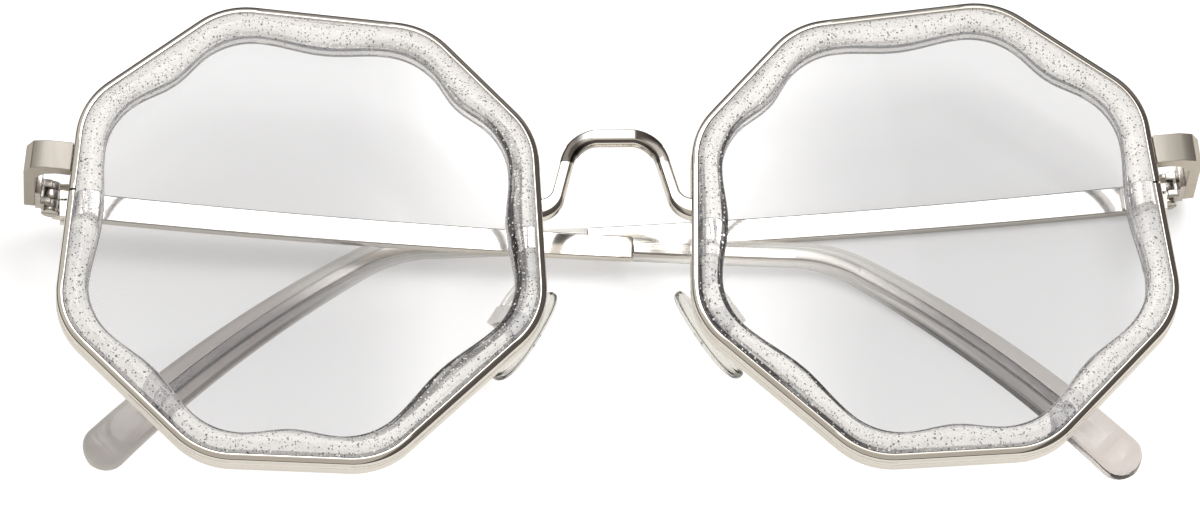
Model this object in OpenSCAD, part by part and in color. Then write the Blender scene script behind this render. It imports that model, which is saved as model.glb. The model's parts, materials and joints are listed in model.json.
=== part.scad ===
// Polygonal glasses with metal rims, clear acetate inner rings and folded temples.
// The glasses lie on their folded temples with the front facing up, +Y towards the brow.
// Every side module draws the piece of the left side, at negative x; the right one is its mirror image.

/* [Front] */
// Distance between the centres of the two lenses
lens_spacing = 70; // [66:0.5:74]
// Radius of the circle that runs through the eight corners of a rim
rim_circle_r = 29.1; // [28.6:0.1:29.6]
// Radius of the rounded corners of the rim
rim_corner_r = 9; // [7:0.5:10]
// Depth of the metal rim from front to back
rim_depth = 3; // [2.6:0.1:3.4]
// Thickness of the metal rim seen from the front
rim_wall = 0.85; // [0.7:0.05:1]
// Width of the acetate ring at a corner
ring_width = 2.6; // [2.2:0.1:3]
// How far the middle of each side of the acetate ring bows towards the lens
ring_bow = 0.65; // [0:0.05:0.9]
// Thickness of the lens
lens_thickness = 1.8; // [1.6:0.1:2.2]
// Radius of the sphere that the lens surfaces follow
lens_curve_r = 265; // [220:5:400]

/* [Bridge] */
// Height of the middle of the arch above the lens centres
arch_top = 11.6; // [10.5:0.05:12.5]
// Radius of the two shoulders of the arch
shoulder_r = 3.5; // [3:0.05:4]
// Width of the arch bar seen from the front
arch_width = 1.65; // [1.2:0.05:1.8]
// Width of the legs of the arch
leg_width = 1.5; // [1:0.1:1.6]

/* [Hinges] */
// Distance of a hinge axis from the middle of the front
hinge_x = 62.3; // [62:0.1:62.6]
// Height of the hinges above the lens centres
hinge_y = 9.4; // [9:0.1:9.8]
// Distance of the hinge axes behind the middle plane of the rims
hinge_back = 9.6; // [9:0.1:10]
// Lean of the left hinge axis in the plane of the front, which lets the folded temple slope
left_lean = 7.1; // [6.5:0.1:7.4]
// Lean of the right hinge axis in the plane of the front
right_lean = 5.1; // [4.8:0.1:5.6]
// Angle between the front and the lower folded temple
fold_gap = 2.4; // [2.4:0.1:3]
// Outer radius of the hinge knuckles
knuckle_r = 1.05; // [1:0.05:1.1]
// Radius of the hinge screw
hinge_screw_r = 0.5; // [0.45:0.05:0.55]

/* [Temples] */
// Length of the metal bar from the hinge axis to the plastic sleeve
bar_length = 65; // [62:1:68]
// Height of the metal bar at the hinge
bar_height = 3.2; // [3:0.1:3.3]
// Height of the metal bar at the sleeve
bar_end_height = 2.7; // [2.5:0.1:2.9]
// Thickness of the metal bar
bar_thickness = 1.2; // [1:0.1:1.2]
// Angle by which the temple curves upwards between its hinge and its bend
bar_bow = 4.7; // [3:0.1:5.5]
// Distance along the temple from the hinge to the bend behind the ear
bend_start = 83; // [81:0.5:85]
// Angle of the bend behind the ear
bend_angle = 29; // [27:0.5:32]
// Further turn of the tail between the bend and the tip
tail_turn = 15; // [12:0.5:17]
// Length of the tail behind the bend
tail_length = 36; // [34:0.5:37]
// Thickness of the plastic sleeve at its tip
tip_thickness = 2.2; // [2:0.1:2.2]
// Width of the plastic sleeve at its tip
tip_width = 5.1; // [4.6:0.1:5.4]

/* [Nose pads] */
// Length of a nose pad
pad_length = 12; // [11:0.5:13]
// Width of a nose pad
pad_width = 7; // [6:0.5:7]
// Thickness of a nose pad
pad_thickness = 1.9; // [1.6:0.1:2]
// Angle of a pad's long axis to the upright, seen from the front
pad_frontal_angle = 32; // [28:1:34]
// Angle of a pad's face to the straight-back direction, seen from above
pad_splay_angle = 28; // [24:1:30]

/* [Hidden] */
$fn = 48;

LEFT = -1;
RIGHT = 1;
METAL = [0.80, 0.78, 0.75];
ACETATE = [0.92, 0.90, 0.89];
LENS = [0.90, 0.90, 0.90];
SLEEVE = [0.78, 0.76, 0.75];
PAD = [0.87, 0.86, 0.85];

// corners of the left rim, as angles from the nose side, all on the rim circle
corner_angles = [24.5, 60, 106, 146, 200, 246.5, 287.5, 339];
arc_steps = 6;
bow_steps = 6;
rim_front = rim_depth / 2 - 0.1;
rim_rear = rim_front - rim_depth;
ring_inner_corner_r = rim_corner_r + 2.5;
ring_inset = rim_wall + ring_width;
groove_depth = 0.5;
groove_half = 0.5;
// cross-section of the acetate ring: share of its width from the rim to the lens, and height
ring_section = [
    [0, -1.5], [0, 1.15], [0.1, 1.5], [0.28, 1.78], [0.5, 1.9], [0.72, 1.75], [0.9, 1.35], [1, 0.85],
    [1, groove_half], ["groove", groove_half], ["groove", -groove_half], [1, -groove_half],
    [1, -1.05], [0.86, -1.5]
];
lens_edge_r = 24;
slit_y = 5.5;
slit_width = 0.25;

shoulder_x = 1.9;
leg_lean = 15;
leg_length = 4.2;
foot_r = 2.4;
bridge_depth = 1.6;
foot_width = 2.4;
foot_overlap = 0.8;
arch_share = 0.8;
bridge_lift = 0.5;

outer_offset = 2.95;
leaf_thickness = 0.6;
end_piece_wall = 1.3;
end_piece_plate = 1.5;
end_piece_reach = 6;
end_piece_height = 3.4;
end_piece_rise = 0.3;
knuckle_height = 3.1;
middle_height = 1.1;
knuckle_gap = 0.07;
running_gap = 0.05;
leaf_clear = 1.3;
leaf_reach = 4;
temple_leaf_reach = 5;
temple_leaf_drop = 0.3;
end_gap = 0.12;
inner_wall = end_piece_wall - outer_offset;
outer_knuckle = middle_height / 2 + knuckle_gap;
head_r = 0.95;
head_height = 0.5;
bar_drop = 0.15;
hinge_height = outer_offset;

sleeve_start_thickness = 1.8;
flare_start = 0.3;
core_width = 1.3;
core_thickness = 0.8;
core_lift = 0.2;
core_length = 121;
bend_r = 15.5;

pad_centre = [-10.75, -8.7, -6.3];
lug_x = 1.7;
lug_half_y = 0.65;
lug_half_z = 0.8;
lug_end = 2.55;
pad_screw_r = 0.45;
box_gap = 0.12;
cheek = 0.45;
box_floor = 2.9;
box_end = 3.35;
box_half_y = 1.1;
box_mouth = 0.6;
arm_r = 0.45;
pad_screw_head_r = 0.8;
pad_screw_head = 0.4;
arm_sides = 8;

screw_slot = 0.24;
slot_depth = 0.25;
lens_bevel_reach = 0.35;
beyond = 1;

// closing blocks and their screw, behind the rim on its hinge side
block_x = -26.4;
block_width = 1.9;
block_height = 1.8;
block_depth = 2.6;
closing_screw_r = 0.6;
closing_head_r = 0.85;
closing_head = 0.5;

function lean(side) = side == LEFT ? left_lean : right_lean;
function unit(v) = v / norm(v);
function turned(v) = [v[1], -v[0]];
function heading(v) = atan2(v[1], v[0]);
function corner(i) = rim_circle_r * [cos(corner_angles[i % 8]), sin(corner_angles[i % 8])];
function side_normal(i) = unit(turned(corner(i + 1) - corner(i)));
function corner_centre(i, r) =
    let (back = unit(corner(i + 7) - corner(i)), on = unit(corner(i + 1) - corner(i)))
    corner(i) + unit(back + on) * r / sin(acos(back * on) / 2);
function corner_turn(i) = 180 - acos(unit(corner(i + 7) - corner(i)) * unit(corner(i + 1) - corner(i)));

// closed outline with rounded corners, drawn in from the rim's outer edge by inset and by bow at mid-side
function outline(r, inset, bow = 0, steps = 1) = [
    for (i = [0:7])
        let (
            here = corner_centre(i, r),
            next = corner_centre(i + 1, r),
            start = heading(side_normal(i + 7)),
            normal = side_normal(i)
        )
        each concat(
            [for (k = [0:arc_steps])
                let (a = start + corner_turn(i) * k / arc_steps) here + (r - inset) * [cos(a), sin(a)]],
            [for (k = [1:1:steps - 1])
                let (t = k / steps)
                here + (next - here) * t + normal * (r - inset - bow * pow(sin(180 * t), 2))]
        )
];

ring_outer = outline(rim_corner_r, rim_wall, 0, bow_steps);
ring_inner = outline(ring_inner_corner_r, ring_inset, ring_bow, bow_steps);
function across_ring(k, share) = ring_outer[k] + (ring_inner[k] - ring_outer[k]) * share;
function groove_share(k) = 1 - groove_depth / norm(ring_inner[k] - ring_outer[k]);
lens_edge = [for (k = [0:len(ring_outer) - 1]) across_ring(k, groove_share(k))];
lens_bevel_inner = [for (k = [0:len(ring_outer) - 1]) across_ring(k, 1 + lens_bevel_reach)];

// solid through a list of closed rings of points; a closed loop of rings joins its last ring to its first
module skin(rings, closed = false) {
    count = len(rings);
    around = len(rings[0]);
    last = closed ? count - 1 : count - 2;
    sides = [
        for (i = [0:last]) for (j = [0:around - 1])
            let (a = i * around, b = ((i + 1) % count) * around, k = (j + 1) % around)
            each [[a + j, a + k, b + k], [a + j, b + k, b + j]]
    ];
    caps = closed ? [] : [
        [for (j = [around - 1:-1:0]) j],
        [for (j = [0:around - 1]) (count - 1) * around + j]
    ];
    polyhedron(points = [for (ring = rings) each ring], faces = concat(sides, caps));
}

module on_side(side) {
    if (side == RIGHT) mirror([1, 0, 0]) children();
    else children();
}

// the front leans on the lower temple, so it is turned about the right hinge by the fold gap
module place_front() {
    translate([hinge_x, hinge_y, hinge_height])
        rotate(a = fold_gap, v = [-sin(right_lean), cos(right_lean), 0])
            translate([-hinge_x, -hinge_y, hinge_back]) children();
}

// a hinge's own frame: x along the folded temple, y along the hinge axis, z towards the front
module at_hinge(side) {
    place_front() on_side(side)
        translate([-hinge_x, hinge_y, -hinge_back]) rotate([0, 0, -lean(side)]) children();
}

module at_temple(side) {
    if (side == LEFT) at_hinge(LEFT) children();
    else translate([0, 0, hinge_height]) mirror([1, 0, 0])
        translate([-hinge_x, hinge_y, 0]) rotate([0, 0, -lean(side)]) children();
}

module at_lens(side) {
    place_front() on_side(side) translate([-lens_spacing / 2, 0, 0]) children();
}

// the left pad's frame: x through its face, y along it
module in_pad_frame() {
    translate(pad_centre) rotate([0, 0, -pad_frontal_angle]) rotate([0, pad_splay_angle, 0]) children();
}

module at_pad(side) {
    place_front() on_side(side) in_pad_frame() children();
}

// all that a rim encloses, longer than the rim by extra at its front and its back
module rim_solid(extra = 0) {
    translate([0, 0, rim_rear - extra]) linear_extrude(rim_depth + 2 * extra)
        polygon(outline(rim_corner_r, 0));
}

module rims_solid() {
    for (side = [LEFT, RIGHT]) on_side(side) translate([-lens_spacing / 2, 0, 0]) rim_solid(beyond);
}

module rim_wire(side) {
    color(METAL) at_lens(side) difference() {
        rim_solid();
        translate([0, 0, rim_rear - beyond]) linear_extrude(rim_depth + 2 * beyond)
            polygon(outline(rim_corner_r, rim_wall));
        translate([-rim_circle_r, slit_y - slit_width / 2, rim_rear - beyond])
            cube([rim_circle_r / 2, slit_width, rim_depth + 2 * beyond]);
    }
}

module acetate_ring(side) {
    rings = [
        for (k = [0:len(ring_outer) - 1]) [
            for (s = ring_section)
                let (p = across_ring(k, s[0] == "groove" ? groove_share(k) : s[0])) [p[0], p[1], s[1]]
        ]
    ];
    color(ACETATE) at_lens(side) skin(rings, closed = true);
}

module lens(side) {
    edge_z = lens_thickness / 2;
    ball_z = edge_z - sqrt(pow(lens_curve_r, 2) - pow(lens_edge_r, 2));
    color(LENS) at_lens(side) {
        intersection() {
            translate([0, 0, -5]) linear_extrude(10) polygon(ring_inner);
            difference() {
                translate([0, 0, ball_z]) sphere(lens_curve_r);
                translate([0, 0, ball_z - lens_thickness]) sphere(lens_curve_r);
            }
        }
        translate([0, 0, -groove_half]) linear_extrude(2 * groove_half) difference() {
            polygon(lens_edge);
            polygon(lens_bevel_inner);
        }
    }
}

function arc_points(centre, r, from, to, steps) =
    [for (k = [0:steps]) let (a = from + (to - from) * k / steps) centre + r * [cos(a), sin(a)]];

// half of the arch, from its middle to the rim on the right
shoulder_centre = [shoulder_x, arch_top - shoulder_r];
leg_top = shoulder_centre + shoulder_r * [cos(leg_lean), sin(leg_lean)];
leg_foot = leg_top + leg_length * [sin(leg_lean), -cos(leg_lean)];
foot_centre = leg_foot + foot_r * [cos(leg_lean), sin(leg_lean)];
shoulder_steps = 8;
foot_steps = 6;
half_arch = concat(
    [[0, arch_top]],
    arc_points(shoulder_centre, shoulder_r, 90, leg_lean, shoulder_steps),
    arc_points(foot_centre, foot_r, 180 + leg_lean, 270, foot_steps),
    [foot_centre + [foot_overlap, -foot_r]]
);
// width of the bar at each of those points: wide over the arch, narrow in the leg, flared at the foot
arch_end = shoulder_steps * arch_share;
leg_end = shoulder_steps + 2;
half_widths = [
    for (k = [0:len(half_arch) - 1])
        k < arch_end ? arch_width
        : k <= leg_end ? leg_width
        : leg_width + (foot_width - leg_width) * (k - leg_end) / (len(half_arch) - 1 - leg_end)
];
arch = concat([for (k = [len(half_arch) - 1:-1:1]) [-half_arch[k][0], half_arch[k][1]]], half_arch);
arch_widths = concat([for (k = [len(half_arch) - 1:-1:1]) half_widths[k]], half_widths);

module bridge() {
    last = len(arch) - 1;
    rings = [
        for (k = [0:last])
            let (
                n = turned(-unit(arch[min(k + 1, last)] - arch[max(k - 1, 0)])),
                w = arch_widths[k] / 2,
                lift = bridge_lift * max(0, 1 - abs(arch[k][0]) / (lens_spacing / 8))
            )
            [for (s = [[-1, -0.5], [1, -0.5], [1, 0.2], [0.75, 0.5], [-0.7, 0.5], [-1, 0.15]])
                let (p = arch[k] + n * w * s[0]) [p[0], p[1], lift + bridge_depth * s[1]]]
    ];
    color(METAL) place_front() difference() {
        skin(rings);
        rims_solid();
    }
}

function ring_at(p, along, r, sides) =
    let (a = unit(cross(along, [0.1, 0.2, 1])), b = unit(cross(along, a)))
    [for (k = [0:sides - 1]) p + r * (a * cos(360 * k / sides) + b * sin(360 * k / sides))];

// point given in the frame of the left pad, in the frame of the front
function from_pad(p) =
    let (
        across = p[0] * cos(pad_splay_angle) + p[2] * sin(pad_splay_angle),
        depth = p[2] * cos(pad_splay_angle) - p[0] * sin(pad_splay_angle)
    )
    pad_centre + [
        across * cos(pad_frontal_angle) + p[1] * sin(pad_frontal_angle),
        p[1] * cos(pad_frontal_angle) - across * sin(pad_frontal_angle),
        depth
    ];

// route of the left pad arm, from inside the rim, under the clear ring, to the top of the pad box's back wall
arm_joint = 0.2 - box_end;
arm_route = [
    [-8.45, -2.4, -0.8], [-8.5, -2.4, -2.1], [-8.8, -2.5, -3.1], [-9.6, -2.9, -4], [-10.7, -3.8, -4.7],
    from_pad([arm_joint, box_half_y + 1.1, 0]), from_pad([arm_joint, box_half_y + 0.5, 0]),
    from_pad([arm_joint, box_half_y - 0.1, 0])
];

module pad_arm(side) {
    last = len(arm_route) - 1;
    color(METAL) place_front() on_side(side) difference() {
        skin([
            for (k = [0:last])
                let (on = arm_route[min(k + 1, last)] - arm_route[max(k - 1, 0)])
                ring_at(arm_route[k], unit(on), arm_r, arm_sides)
        ]);
        translate([-lens_spacing / 2, 0, 0]) rim_solid();
        in_pad_frame() pad_box_block();
    }
}

box_half_z = lug_half_z + box_gap + cheek;
module pad_box_block() {
    block_from_to([-box_end, -box_half_y, -box_half_z], [-box_mouth, box_half_y, box_half_z]);
}

module pad_box(side) {
    color(METAL) at_pad(side) difference() {
        pad_box_block();
        block_from_to([-box_floor, -box_half_y - beyond, cheek - box_half_z],
            [0, box_half_y + beyond, box_half_z - cheek]);
        pad_screw_shank();
    }
}

module pad_screw_shank(gap = 0) {
    translate([-lug_x, 0, -box_half_z]) cylinder(r = pad_screw_r + gap, h = 2 * box_half_z);
}

module pad_screw(side) {
    top = -box_half_z - pad_screw_head;
    color(METAL) at_pad(side) difference() {
        union() {
            pad_screw_shank();
            translate([-lug_x, 0, top]) cylinder(r = pad_screw_head_r, h = pad_screw_head);
        }
        block_from_to([-lug_x - beyond, -screw_slot / 2, top - beyond],
            [beyond - lug_x, screw_slot / 2, top + slot_depth]);
    }
}

// rings across a pad: share of the half length, share of the width, set-back of its face
pad_rings = [
    [-1, 0.25, 0.7], [-0.94, 0.52, 0.36], [-0.78, 0.82, 0.12], [-0.45, 1, 0], [0, 0.98, 0],
    [0.4, 0.86, 0.04], [0.72, 0.66, 0.16], [0.92, 0.42, 0.4], [1, 0.2, 0.7]
];

module nose_pad(side) {
    rings = [
        for (r = pad_rings)
            let (y = r[0] * pad_length / 2, w = r[1] * pad_width / 2, face = pad_thickness - r[2])
            [for (s = [[0.34, -0.96], [0.6, -1], [0.85, -0.8], [1, -0.35], [1, 0.35], [0.85, 0.8], [0.6, 1],
                [0.34, 0.96], [0.1, 0.75], [0.02, 0], [0.1, -0.75]])
                [(r[2] / 2 + (face - r[2] / 2) * s[0]), y, s[1] * w]]
    ];
    color(PAD) at_pad(side) difference() {
        union() {
            skin(rings);
            block_from_to([-lug_end, -lug_half_y, -lug_half_z], [pad_thickness / 2, lug_half_y, lug_half_z]);
        }
        pad_screw_shank(running_gap);
    }
}

module closing_block(side, up) {
    low = up ? slit_y + slit_width / 2 : slit_y - slit_width / 2 - block_height;
    color(METAL) at_lens(side) difference() {
        translate([block_x, low, rim_rear - block_depth]) cube([block_width, block_height, block_depth]);
        closing_screw_shape();
    }
}

module closing_screw_shape() {
    reach = block_height + slit_width / 2;
    translate([block_x + block_width / 2, slit_y - reach, rim_rear - block_depth / 2]) rotate([-90, 0, 0]) {
        cylinder(r = closing_screw_r, h = 2 * reach - slot_depth);
        cylinder(r = closing_head_r, h = closing_head);
    }
}

module closing_screw(side) {
    head_y = slit_y - block_height - slit_width / 2;
    mid_z = rim_rear - block_depth / 2;
    color(METAL) at_lens(side) difference() {
        closing_screw_shape();
        block_from_to([block_x, head_y - beyond, mid_z - screw_slot / 2],
            [block_x + block_width, head_y + slot_depth, mid_z + screw_slot / 2]);
    }
}

// plan of the end piece, seen along the hinge axis
module end_piece_plan() {
    top = hinge_back + rim_front;
    polygon([
        [end_piece_reach, top], [-0.7, top], [-2.2, top - 0.55], [-outer_offset, top - 2.1],
        [-outer_offset, end_gap], [inner_wall, end_gap], [inner_wall, top - 3.2], [-0.6, top - 1.9],
        [0.6, top - end_piece_plate], [end_piece_reach, top - end_piece_plate]
    ]);
}

module end_piece(side) {
    color(METAL) difference() {
        at_hinge(side) translate([0, end_piece_rise - end_piece_height / 2, 0])
            rotate([90, 0, 0]) mirror([0, 0, 1]) linear_extrude(end_piece_height) end_piece_plan();
        place_front() rims_solid();
    }
}

module ring_of(r, low, high) {
    translate([0, low, 0]) rotate([-90, 0, 0]) cylinder(r = r, h = high - low);
}

module block_from_to(low, high) {
    translate(low) cube(high - low);
}

module front_hinge_leaf(side) {
    color(METAL) at_hinge(side) difference() {
        union() {
            block_from_to([inner_wall, -knuckle_height / 2, leaf_clear],
                [inner_wall + leaf_thickness, knuckle_height / 2, leaf_reach]);
            for (end = [[-knuckle_height / 2, -outer_knuckle], [outer_knuckle, knuckle_height / 2]]) {
                ring_of(knuckle_r, end[0], end[1]);
                block_from_to([inner_wall, end[0], 0], [0, end[1], leaf_clear]);
            }
        }
        ring_of(hinge_screw_r, -knuckle_height, knuckle_height);
    }
}

module temple_hinge_leaf(side) {
    floor_z = -outer_offset + bar_thickness;
    color(METAL) at_temple(side) difference() {
        union() {
            block_from_to([leaf_clear, temple_leaf_drop - knuckle_height / 2, floor_z],
                [temple_leaf_reach, knuckle_height / 2 - temple_leaf_drop, floor_z + leaf_thickness]);
            ring_of(knuckle_r, -middle_height / 2, middle_height / 2);
            block_from_to([0, -middle_height / 2, floor_z], [leaf_clear, middle_height / 2, 0]);
        }
        ring_of(hinge_screw_r + running_gap, -knuckle_height, knuckle_height);
    }
}

module hinge_screw(side) {
    low = -knuckle_height / 2;
    color(METAL) at_hinge(side) difference() {
        union() {
            ring_of(hinge_screw_r, low, knuckle_height / 2);
            ring_of(head_r, low - head_height, low);
        }
        block_from_to([-head_r, low - head_height - beyond, -screw_slot / 2],
            [head_r, low - head_height + slot_depth, screw_slot / 2]);
    }
}

// route of the temple's middle line as steps of length and downward turn, from the hinge to the tip
bend_length = bend_r * bend_angle * PI / 180;
bar_steps = 8;
straight_steps = 2;
bend_steps = 8;
tail_steps = 8;
function even_steps(count, length, turn) = [for (k = [1:count]) [length / count, turn / count]];
steps = concat(
    even_steps(bar_steps, bar_length - end_gap, -bar_bow * bar_length / bend_start),
    even_steps(straight_steps, bend_start - bar_length, -bar_bow * (1 - bar_length / bend_start)),
    even_steps(bend_steps, bend_length, bend_angle),
    even_steps(tail_steps, tail_length, tail_turn)
);
function walk(k, p, a) = k == len(steps)
    ? [[p[0], p[1], a]]
    : let (mid = a + steps[k][1] / 2)
        concat([[p[0], p[1], a]], walk(k + 1, p + steps[k][0] * [cos(mid), -sin(mid)], a + steps[k][1]));
route = walk(0, [end_gap, bar_drop], 0);
function travelled(k) = k == 0 ? end_gap : travelled(k - 1) + steps[k - 1][0];
temple_length = travelled(len(steps));
function along_sleeve(k) = (travelled(k) - bar_length) / (temple_length - bar_length);
function bar_half(k) = (bar_height + (bar_end_height - bar_height) * travelled(k) / bar_length) / 2;
function sleeve_width(t) = t < flare_start
    ? bar_end_height
    : bar_end_height + (tip_width - bar_end_height) * pow((t - flare_start) / (1 - flare_start), 0.8);
function sleeve_thickness(t) = sleeve_start_thickness + (tip_thickness - sleeve_start_thickness) * t;
// point beside the route at step k, to its upper side for a positive distance
function beside(k, distance) =
    [route[k][0] + sin(route[k][2]) * distance, route[k][1] + cos(route[k][2]) * distance];
// flat strip along the route from step first to step last, between the half widths given at each step
function strip(first, last, halves) = concat(
    [for (k = [first:last]) beside(k, halves[k - first])],
    [for (k = [last:-1:first]) beside(k, -halves[k - first])]
);

// one ring of the sleeve: flat outer face, rounded edges, at point p with heading a
function sleeve_ring(p, a, width, thickness) = [
    for (s = [[-1, 0.16], [-0.8, 0], [0.8, 0], [1, 0.16], [1, 0.7], [0.86, 0.92], [0.55, 1], [-0.55, 1],
        [-0.86, 0.92], [-1, 0.7]])
        [p[0] + sin(a) * s[0] * width / 2, p[1] + cos(a) * s[0] * width / 2,
            -outer_offset + thickness * s[1]]
];

module temple_bar(side) {
    color(METAL) at_temple(side) {
        translate([0, 0, -outer_offset]) linear_extrude(bar_thickness)
            polygon(strip(0, bar_steps, [for (k = [0:bar_steps]) bar_half(k)]));
        core();
    }
}

// flat wire inside the sleeve, drawn out of the end of the bar
core_last = max([for (k = [bar_steps:len(steps)]) if (travelled(k) < core_length) k]);
module core() {
    translate([0, 0, core_lift - outer_offset]) linear_extrude(core_thickness)
        polygon(strip(bar_steps, core_last, [for (k = [bar_steps:core_last]) core_width / 2]));
}

module temple_sleeve(side) {
    last = len(route) - 1;
    end = route[last];
    heading_out = [cos(end[2]), -sin(end[2])];
    body = [
        for (k = [bar_steps:last])
            let (t = along_sleeve(k))
            sleeve_ring(route[k], route[k][2], sleeve_width(t), sleeve_thickness(t))
    ];
    round_end = [
        for (a = [25:20:85])
            sleeve_ring([end[0], end[1]] + heading_out * sin(a) * tip_width * 0.45, end[2],
                tip_width * cos(a), sleeve_thickness(1) * (0.7 + 0.3 * cos(a)))
    ];
    color(SLEEVE) at_temple(side) difference() {
        skin(concat(body, round_end));
        core();
    }
}

rim_wire(LEFT);  // left_rim_wire
rim_wire(RIGHT);  // right_rim_wire
acetate_ring(LEFT);  // left_acetate_ring
acetate_ring(RIGHT);  // right_acetate_ring
lens(LEFT);  // left_lens
lens(RIGHT);  // right_lens
bridge();
pad_arm(LEFT);  // left_pad_arm
pad_arm(RIGHT);  // right_pad_arm
pad_box(LEFT);  // left_pad_box
pad_box(RIGHT);  // right_pad_box
pad_screw(LEFT);  // left_pad_screw
pad_screw(RIGHT);  // right_pad_screw
nose_pad(LEFT);  // left_nose_pad
nose_pad(RIGHT);  // right_nose_pad
closing_block(LEFT, true);  // left_upper_closing_block
closing_block(RIGHT, true);  // right_upper_closing_block
closing_block(LEFT, false);  // left_lower_closing_block
closing_block(RIGHT, false);  // right_lower_closing_block
closing_screw(LEFT);  // left_closing_screw
closing_screw(RIGHT);  // right_closing_screw
end_piece(LEFT);  // left_end_piece
end_piece(RIGHT);  // right_end_piece
front_hinge_leaf(LEFT);  // left_front_hinge_leaf
front_hinge_leaf(RIGHT);  // right_front_hinge_leaf
hinge_screw(LEFT);  // left_hinge_screw
hinge_screw(RIGHT);  // right_hinge_screw
temple_hinge_leaf(LEFT);  // left_temple_hinge_leaf
temple_hinge_leaf(RIGHT);  // right_temple_hinge_leaf
temple_bar(LEFT);  // left_temple_bar
temple_bar(RIGHT);  // right_temple_bar
temple_sleeve(LEFT);  // left_temple_sleeve
temple_sleeve(RIGHT);  // right_temple_sleeve
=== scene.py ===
"""Looks of a pair of polygonal glasses with clear glitter rings, lying on their folded temples.

Sizes are in metres; constants and defaults are written in millimetres. Side pieces are drawn as the left
one, at negative x; the right one mirrors it.
"""

import json
import math
import random

import bmesh
import bpy
from bpy.props import FloatProperty, FloatVectorProperty, IntProperty, PointerProperty
from bpy.types import Operator, Panel, PropertyGroup
from mathutils import Matrix, Vector


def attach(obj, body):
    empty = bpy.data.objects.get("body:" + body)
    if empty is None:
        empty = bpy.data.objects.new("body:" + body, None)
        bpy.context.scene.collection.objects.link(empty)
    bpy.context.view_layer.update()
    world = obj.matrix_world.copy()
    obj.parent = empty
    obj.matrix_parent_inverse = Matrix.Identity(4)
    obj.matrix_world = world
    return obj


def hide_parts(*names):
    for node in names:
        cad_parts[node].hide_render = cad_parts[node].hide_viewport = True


bl_info = {
    "name": "Polygonal glasses",
    "version": (1, 0, 0),
    "blender": (4, 5, 0),
    "location": "3D View > Sidebar > Glasses",
    "description": "Dresses a pair of folded polygonal glasses with clear glitter rings",
    "category": "Add Mesh",
}

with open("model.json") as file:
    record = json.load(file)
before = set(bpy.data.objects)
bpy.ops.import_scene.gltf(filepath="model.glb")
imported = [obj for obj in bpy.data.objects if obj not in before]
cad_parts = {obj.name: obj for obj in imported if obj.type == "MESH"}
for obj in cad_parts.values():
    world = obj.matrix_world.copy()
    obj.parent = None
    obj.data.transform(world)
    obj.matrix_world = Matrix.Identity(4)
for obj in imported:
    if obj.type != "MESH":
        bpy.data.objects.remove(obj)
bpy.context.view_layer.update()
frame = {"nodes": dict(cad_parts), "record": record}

MM = 0.001
LEFT = "left"
RIGHT = "right"
SIDES = (LEFT, RIGHT)
PHOTO_WIDTH = 1200
SENSOR_WIDTH = 36.0

BODY_OF = {
    node: body
    for body, members in frame["record"]["behaviour"]["bodies"].items()
    for node in members
}


def length(name, description, default):
    """Property for a distance, given in millimetres."""
    return FloatProperty(name=name, description=description, default=default * MM, unit="LENGTH")


def angle(name, description, default):
    """Property for an angle, given in degrees."""
    return FloatProperty(name=name, description=description, default=math.radians(default), unit="ROTATION")


def share(name, description, default):
    """Property for a number from nought to one."""
    return FloatProperty(name=name, description=description, default=default, subtype="FACTOR")


def power(name, description, default):
    """Property for the power of a lamp, in watts."""
    return FloatProperty(name=name, description=description, default=default, unit="POWER")


def point(name, description, default):
    """Property for a place, given in millimetres."""
    return FloatVectorProperty(
        name=name, description=description, default=[c * MM for c in default],
        subtype="TRANSLATION", unit="LENGTH", size=3,
    )


def colour(name, description, default):
    """Property for a linear colour."""
    return FloatVectorProperty(
        name=name, description=description, default=default, subtype="COLOR", size=3, min=0, max=1
    )


class GlassesFront(PropertyGroup):
    """Sizes of the rims, the clear rings and the lenses."""

    lens_spacing: length("Lens spacing", "Distance between the centres of the lenses", 70)
    rim_circle: length("Rim circle", "Radius of the circle through the corners of a rim", 29.1)
    rim_corner: length("Rim corner", "Radius of the rounded corners of a rim", 9)
    rim_depth: length("Rim depth", "Depth of a rim from front to back", 3)
    rim_wall: length("Rim wall", "Thickness of the metal seen from the front", 0.85)
    rim_edge: length("Rim edge", "Radius of the rounded edges of the metal", 0.22)
    rim_groove: length("Rim groove", "Depth of the shallow groove round the outside of a rim", 0.13)
    rim_fall: length("Rim fall", "How far the face of a rim falls towards its outside", 0.2)
    ring_width: length("Ring width", "Width of the clear ring at a corner", 2.6)
    ring_bow: length("Ring bow", "How far each side of the ring bows towards the lens", 0.65)
    ring_inner_corner: length("Inner corner", "Radius of the corners of the opening in the ring", 11.5)
    groove: length("Groove", "Depth and half height of the groove that holds the lens", 0.5)
    lens_thickness: length("Lens thickness", "Thickness of a lens", 1.8)
    lens_curve: length("Lens curve", "Radius of the sphere that a lens follows", 265)
    lens_edge: length("Lens edge", "Radius at which the lens curve meets the groove", 24)
    slit: length("Slit", "Gap where a rim is closed by its screw", 0.25)
    slit_height: length("Slit height", "Height of that gap above the lens centre", 5.5)


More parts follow.
